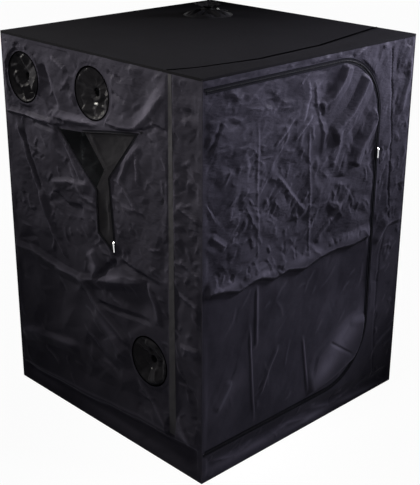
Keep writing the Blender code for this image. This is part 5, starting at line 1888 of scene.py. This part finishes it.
COOL = (0.97, 0.96, 1.0)
WARM = (1.0, 0.97, 0.86)
WHITE = (1, 1, 1, 1)


@dataclass(frozen=True)
class Lamp:
    """A soft square lamp: where it stands, the point it faces, its power, side and spread."""

    name: str
    place: tuple[float, float, float]
    target: tuple[float, float, float]
    power: float
    size: float = 0.5
    spread: float = radians(50)
    colour: Colour = COOL

    def build(self) -> None:
        """Make the lamp."""
        data = bpy.data.lights.new(self.name, "AREA")
        data.size = self.size
        data.energy = self.power
        data.spread = self.spread
        data.color = self.colour
        lamp = bpy.data.objects.new(self.name, data)
        turn = (Vector(self.target) - Vector(self.place)).to_track_quat("-Z", "Y").to_matrix()
        lamp.matrix_world = Matrix.Translation(self.place) @ turn.to_4x4()
        bpy.context.scene.collection.objects.link(lamp)


@dataclass
class Studio:
    """The camera at the photograph's place, soft lights and a pale floor."""

    place: tuple[float, float, float] = (-3.7081, -3.8479, 2.9819)
    azimuth: float = radians(-44.135)
    elevation: float = radians(21.81)
    roll: float = radians(0.314)
    focal_pixels: float = 1044.55
    image_height: float = 485.0
    sensor: float = 36.0
    view_reach: float = 60.0
    dim_share: float = 0.05
    floor_size: float = 40.0
    floor_drop: float = 0.0005
    floor_grey: float = 0.66
    floor_roughness: float = 0.7
    floor_glow: float = 1.07
    floor_glow_share: float = 0.9
    lamps: tuple[Lamp, ...] = (
        Lamp("front_fill", (0.6, -2.8, 3.6), (-0.1, -0.75, 1.90), 4.0),
        Lamp("front_grazing", (2.9, -1.5, 2.65), (-0.15, -0.75, 1.90), 48.0, spread=radians(60)),
        Lamp("side_fill", (-2.8, -0.6, 3.6), (-0.75, -0.3, 1.90), 4.5, colour=WARM),
        Lamp("side_grazing", (-1.5, 2.8, 2.9), (-0.75, 0.0, 1.90), 22.0, spread=radians(56), colour=WARM),
        Lamp("front_low", (2.3, -2.1, 1.7), (0.28, -0.75, 0.42), 0.65, 0.3, radians(20)),
        Lamp("inner_glow", (0.0, 0.0, 1.3), (0.0, 0.0, 0.0), 0.7, spread=pi),
    )

    def build(self) -> None:
        """Make the camera, the lights, the world and the floor."""
        self.build_camera()
        self.build_world()
        self.build_floor()
        for lamp in self.lamps:
            lamp.build()

    def build_camera(self) -> None:
        """Make the camera."""
        level = cos(self.elevation)
        look = Vector((-sin(self.azimuth) * level, cos(self.azimuth) * level, -sin(self.elevation)))
        right = look.cross(Vector((0, 0, 1))).normalized()
        up = right.cross(look)
        turned_right = cos(self.roll) * right + sin(self.roll) * up
        turned_up = -sin(self.roll) * right + cos(self.roll) * up
        data = bpy.data.cameras.new("camera")
        data.sensor_width = self.sensor
        data.lens = self.focal_pixels / self.image_height * self.sensor
        data.clip_end = self.view_reach
        camera = bpy.data.objects.new("camera", data)
        axes = Matrix((turned_right, turned_up, -look)).transposed().to_4x4()
        camera.matrix_world = Matrix.Translation(self.place) @ axes
        bpy.context.scene.collection.objects.link(camera)
        bpy.context.scene.camera = camera

    def build_world(self) -> None:
        """Make an even dim world that the camera and reflections see as white."""
        world = bpy.data.worlds.new("studio")
        world.use_nodes = True
        nodes, links = world.node_tree.nodes, world.node_tree.links
        background = nodes["Background"]
        background.inputs["Color"].default_value = WHITE
        strength = nodes.new("ShaderNodeMapRange")
        strength.inputs["To Min"].default_value = self.dim_share
        strength.inputs["To Max"].default_value = 1.0
        links.new(seen_directly(world.node_tree), strength.inputs["Value"])
        links.new(strength.outputs["Result"], background.inputs["Strength"])
        bpy.context.scene.world = world

    def build_floor(self) -> None:
        """Make the pale floor, which keeps the tent's shadow."""
        bpy.ops.object.select_all(action="DESELECT")
        bpy.ops.mesh.primitive_plane_add(size=self.floor_size, location=(0, 0, -self.floor_drop))
        floor = bpy.context.object
        floor.name = "studio_floor"
        shader = Shader("studio_floor_finish", (self.floor_grey,) * 3, self.floor_roughness)
        glow = shader.add("Emission")
        glow.inputs["Color"].default_value = WHITE
        glow.inputs["Strength"].default_value = self.floor_glow
        mix = shader.add("MixShader")
        share = shader.add("MapRange")
        share.inputs["To Max"].default_value = self.floor_glow_share
        output = shader.nodes["Material Output"]
        shader.join(seen_directly(shader.material.node_tree), share.inputs["Value"])
        shader.join(share.outputs["Result"], mix.inputs["Fac"])
        shader.join(shader.surface.outputs["BSDF"], mix.inputs[1])
        shader.join(glow.outputs["Emission"], mix.inputs[2])
        shader.join(mix.outputs["Shader"], output.inputs["Surface"])
        floor.data.materials.append(shader.material)


def main() -> None:
    """Build every piece round the frame."""
    logging.basicConfig(level=logging.INFO, format="%(name)s: %(message)s")
    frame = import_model()
    bpy.ops.object.select_all(action="DESELECT")
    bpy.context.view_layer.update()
    Studio().build()
    cover = Cover()
    trims = cover.build_bindings()
    Door().build(trims[Side.FRONT])
    cover.build(trims)
    Tray().build()
    for name, seed in (("rear", 71), ("middle", 72), ("low", 73)):
        Sleeve(name, seed, Gather.PUSHED_IN).build()
    Sleeve("roof", 74, Gather.STANDING).build()
    dress_frame(frame["nodes"])
    bpy.context.scene.view_settings.view_transform = "Standard"


if __name__ == "__main__":
    main()
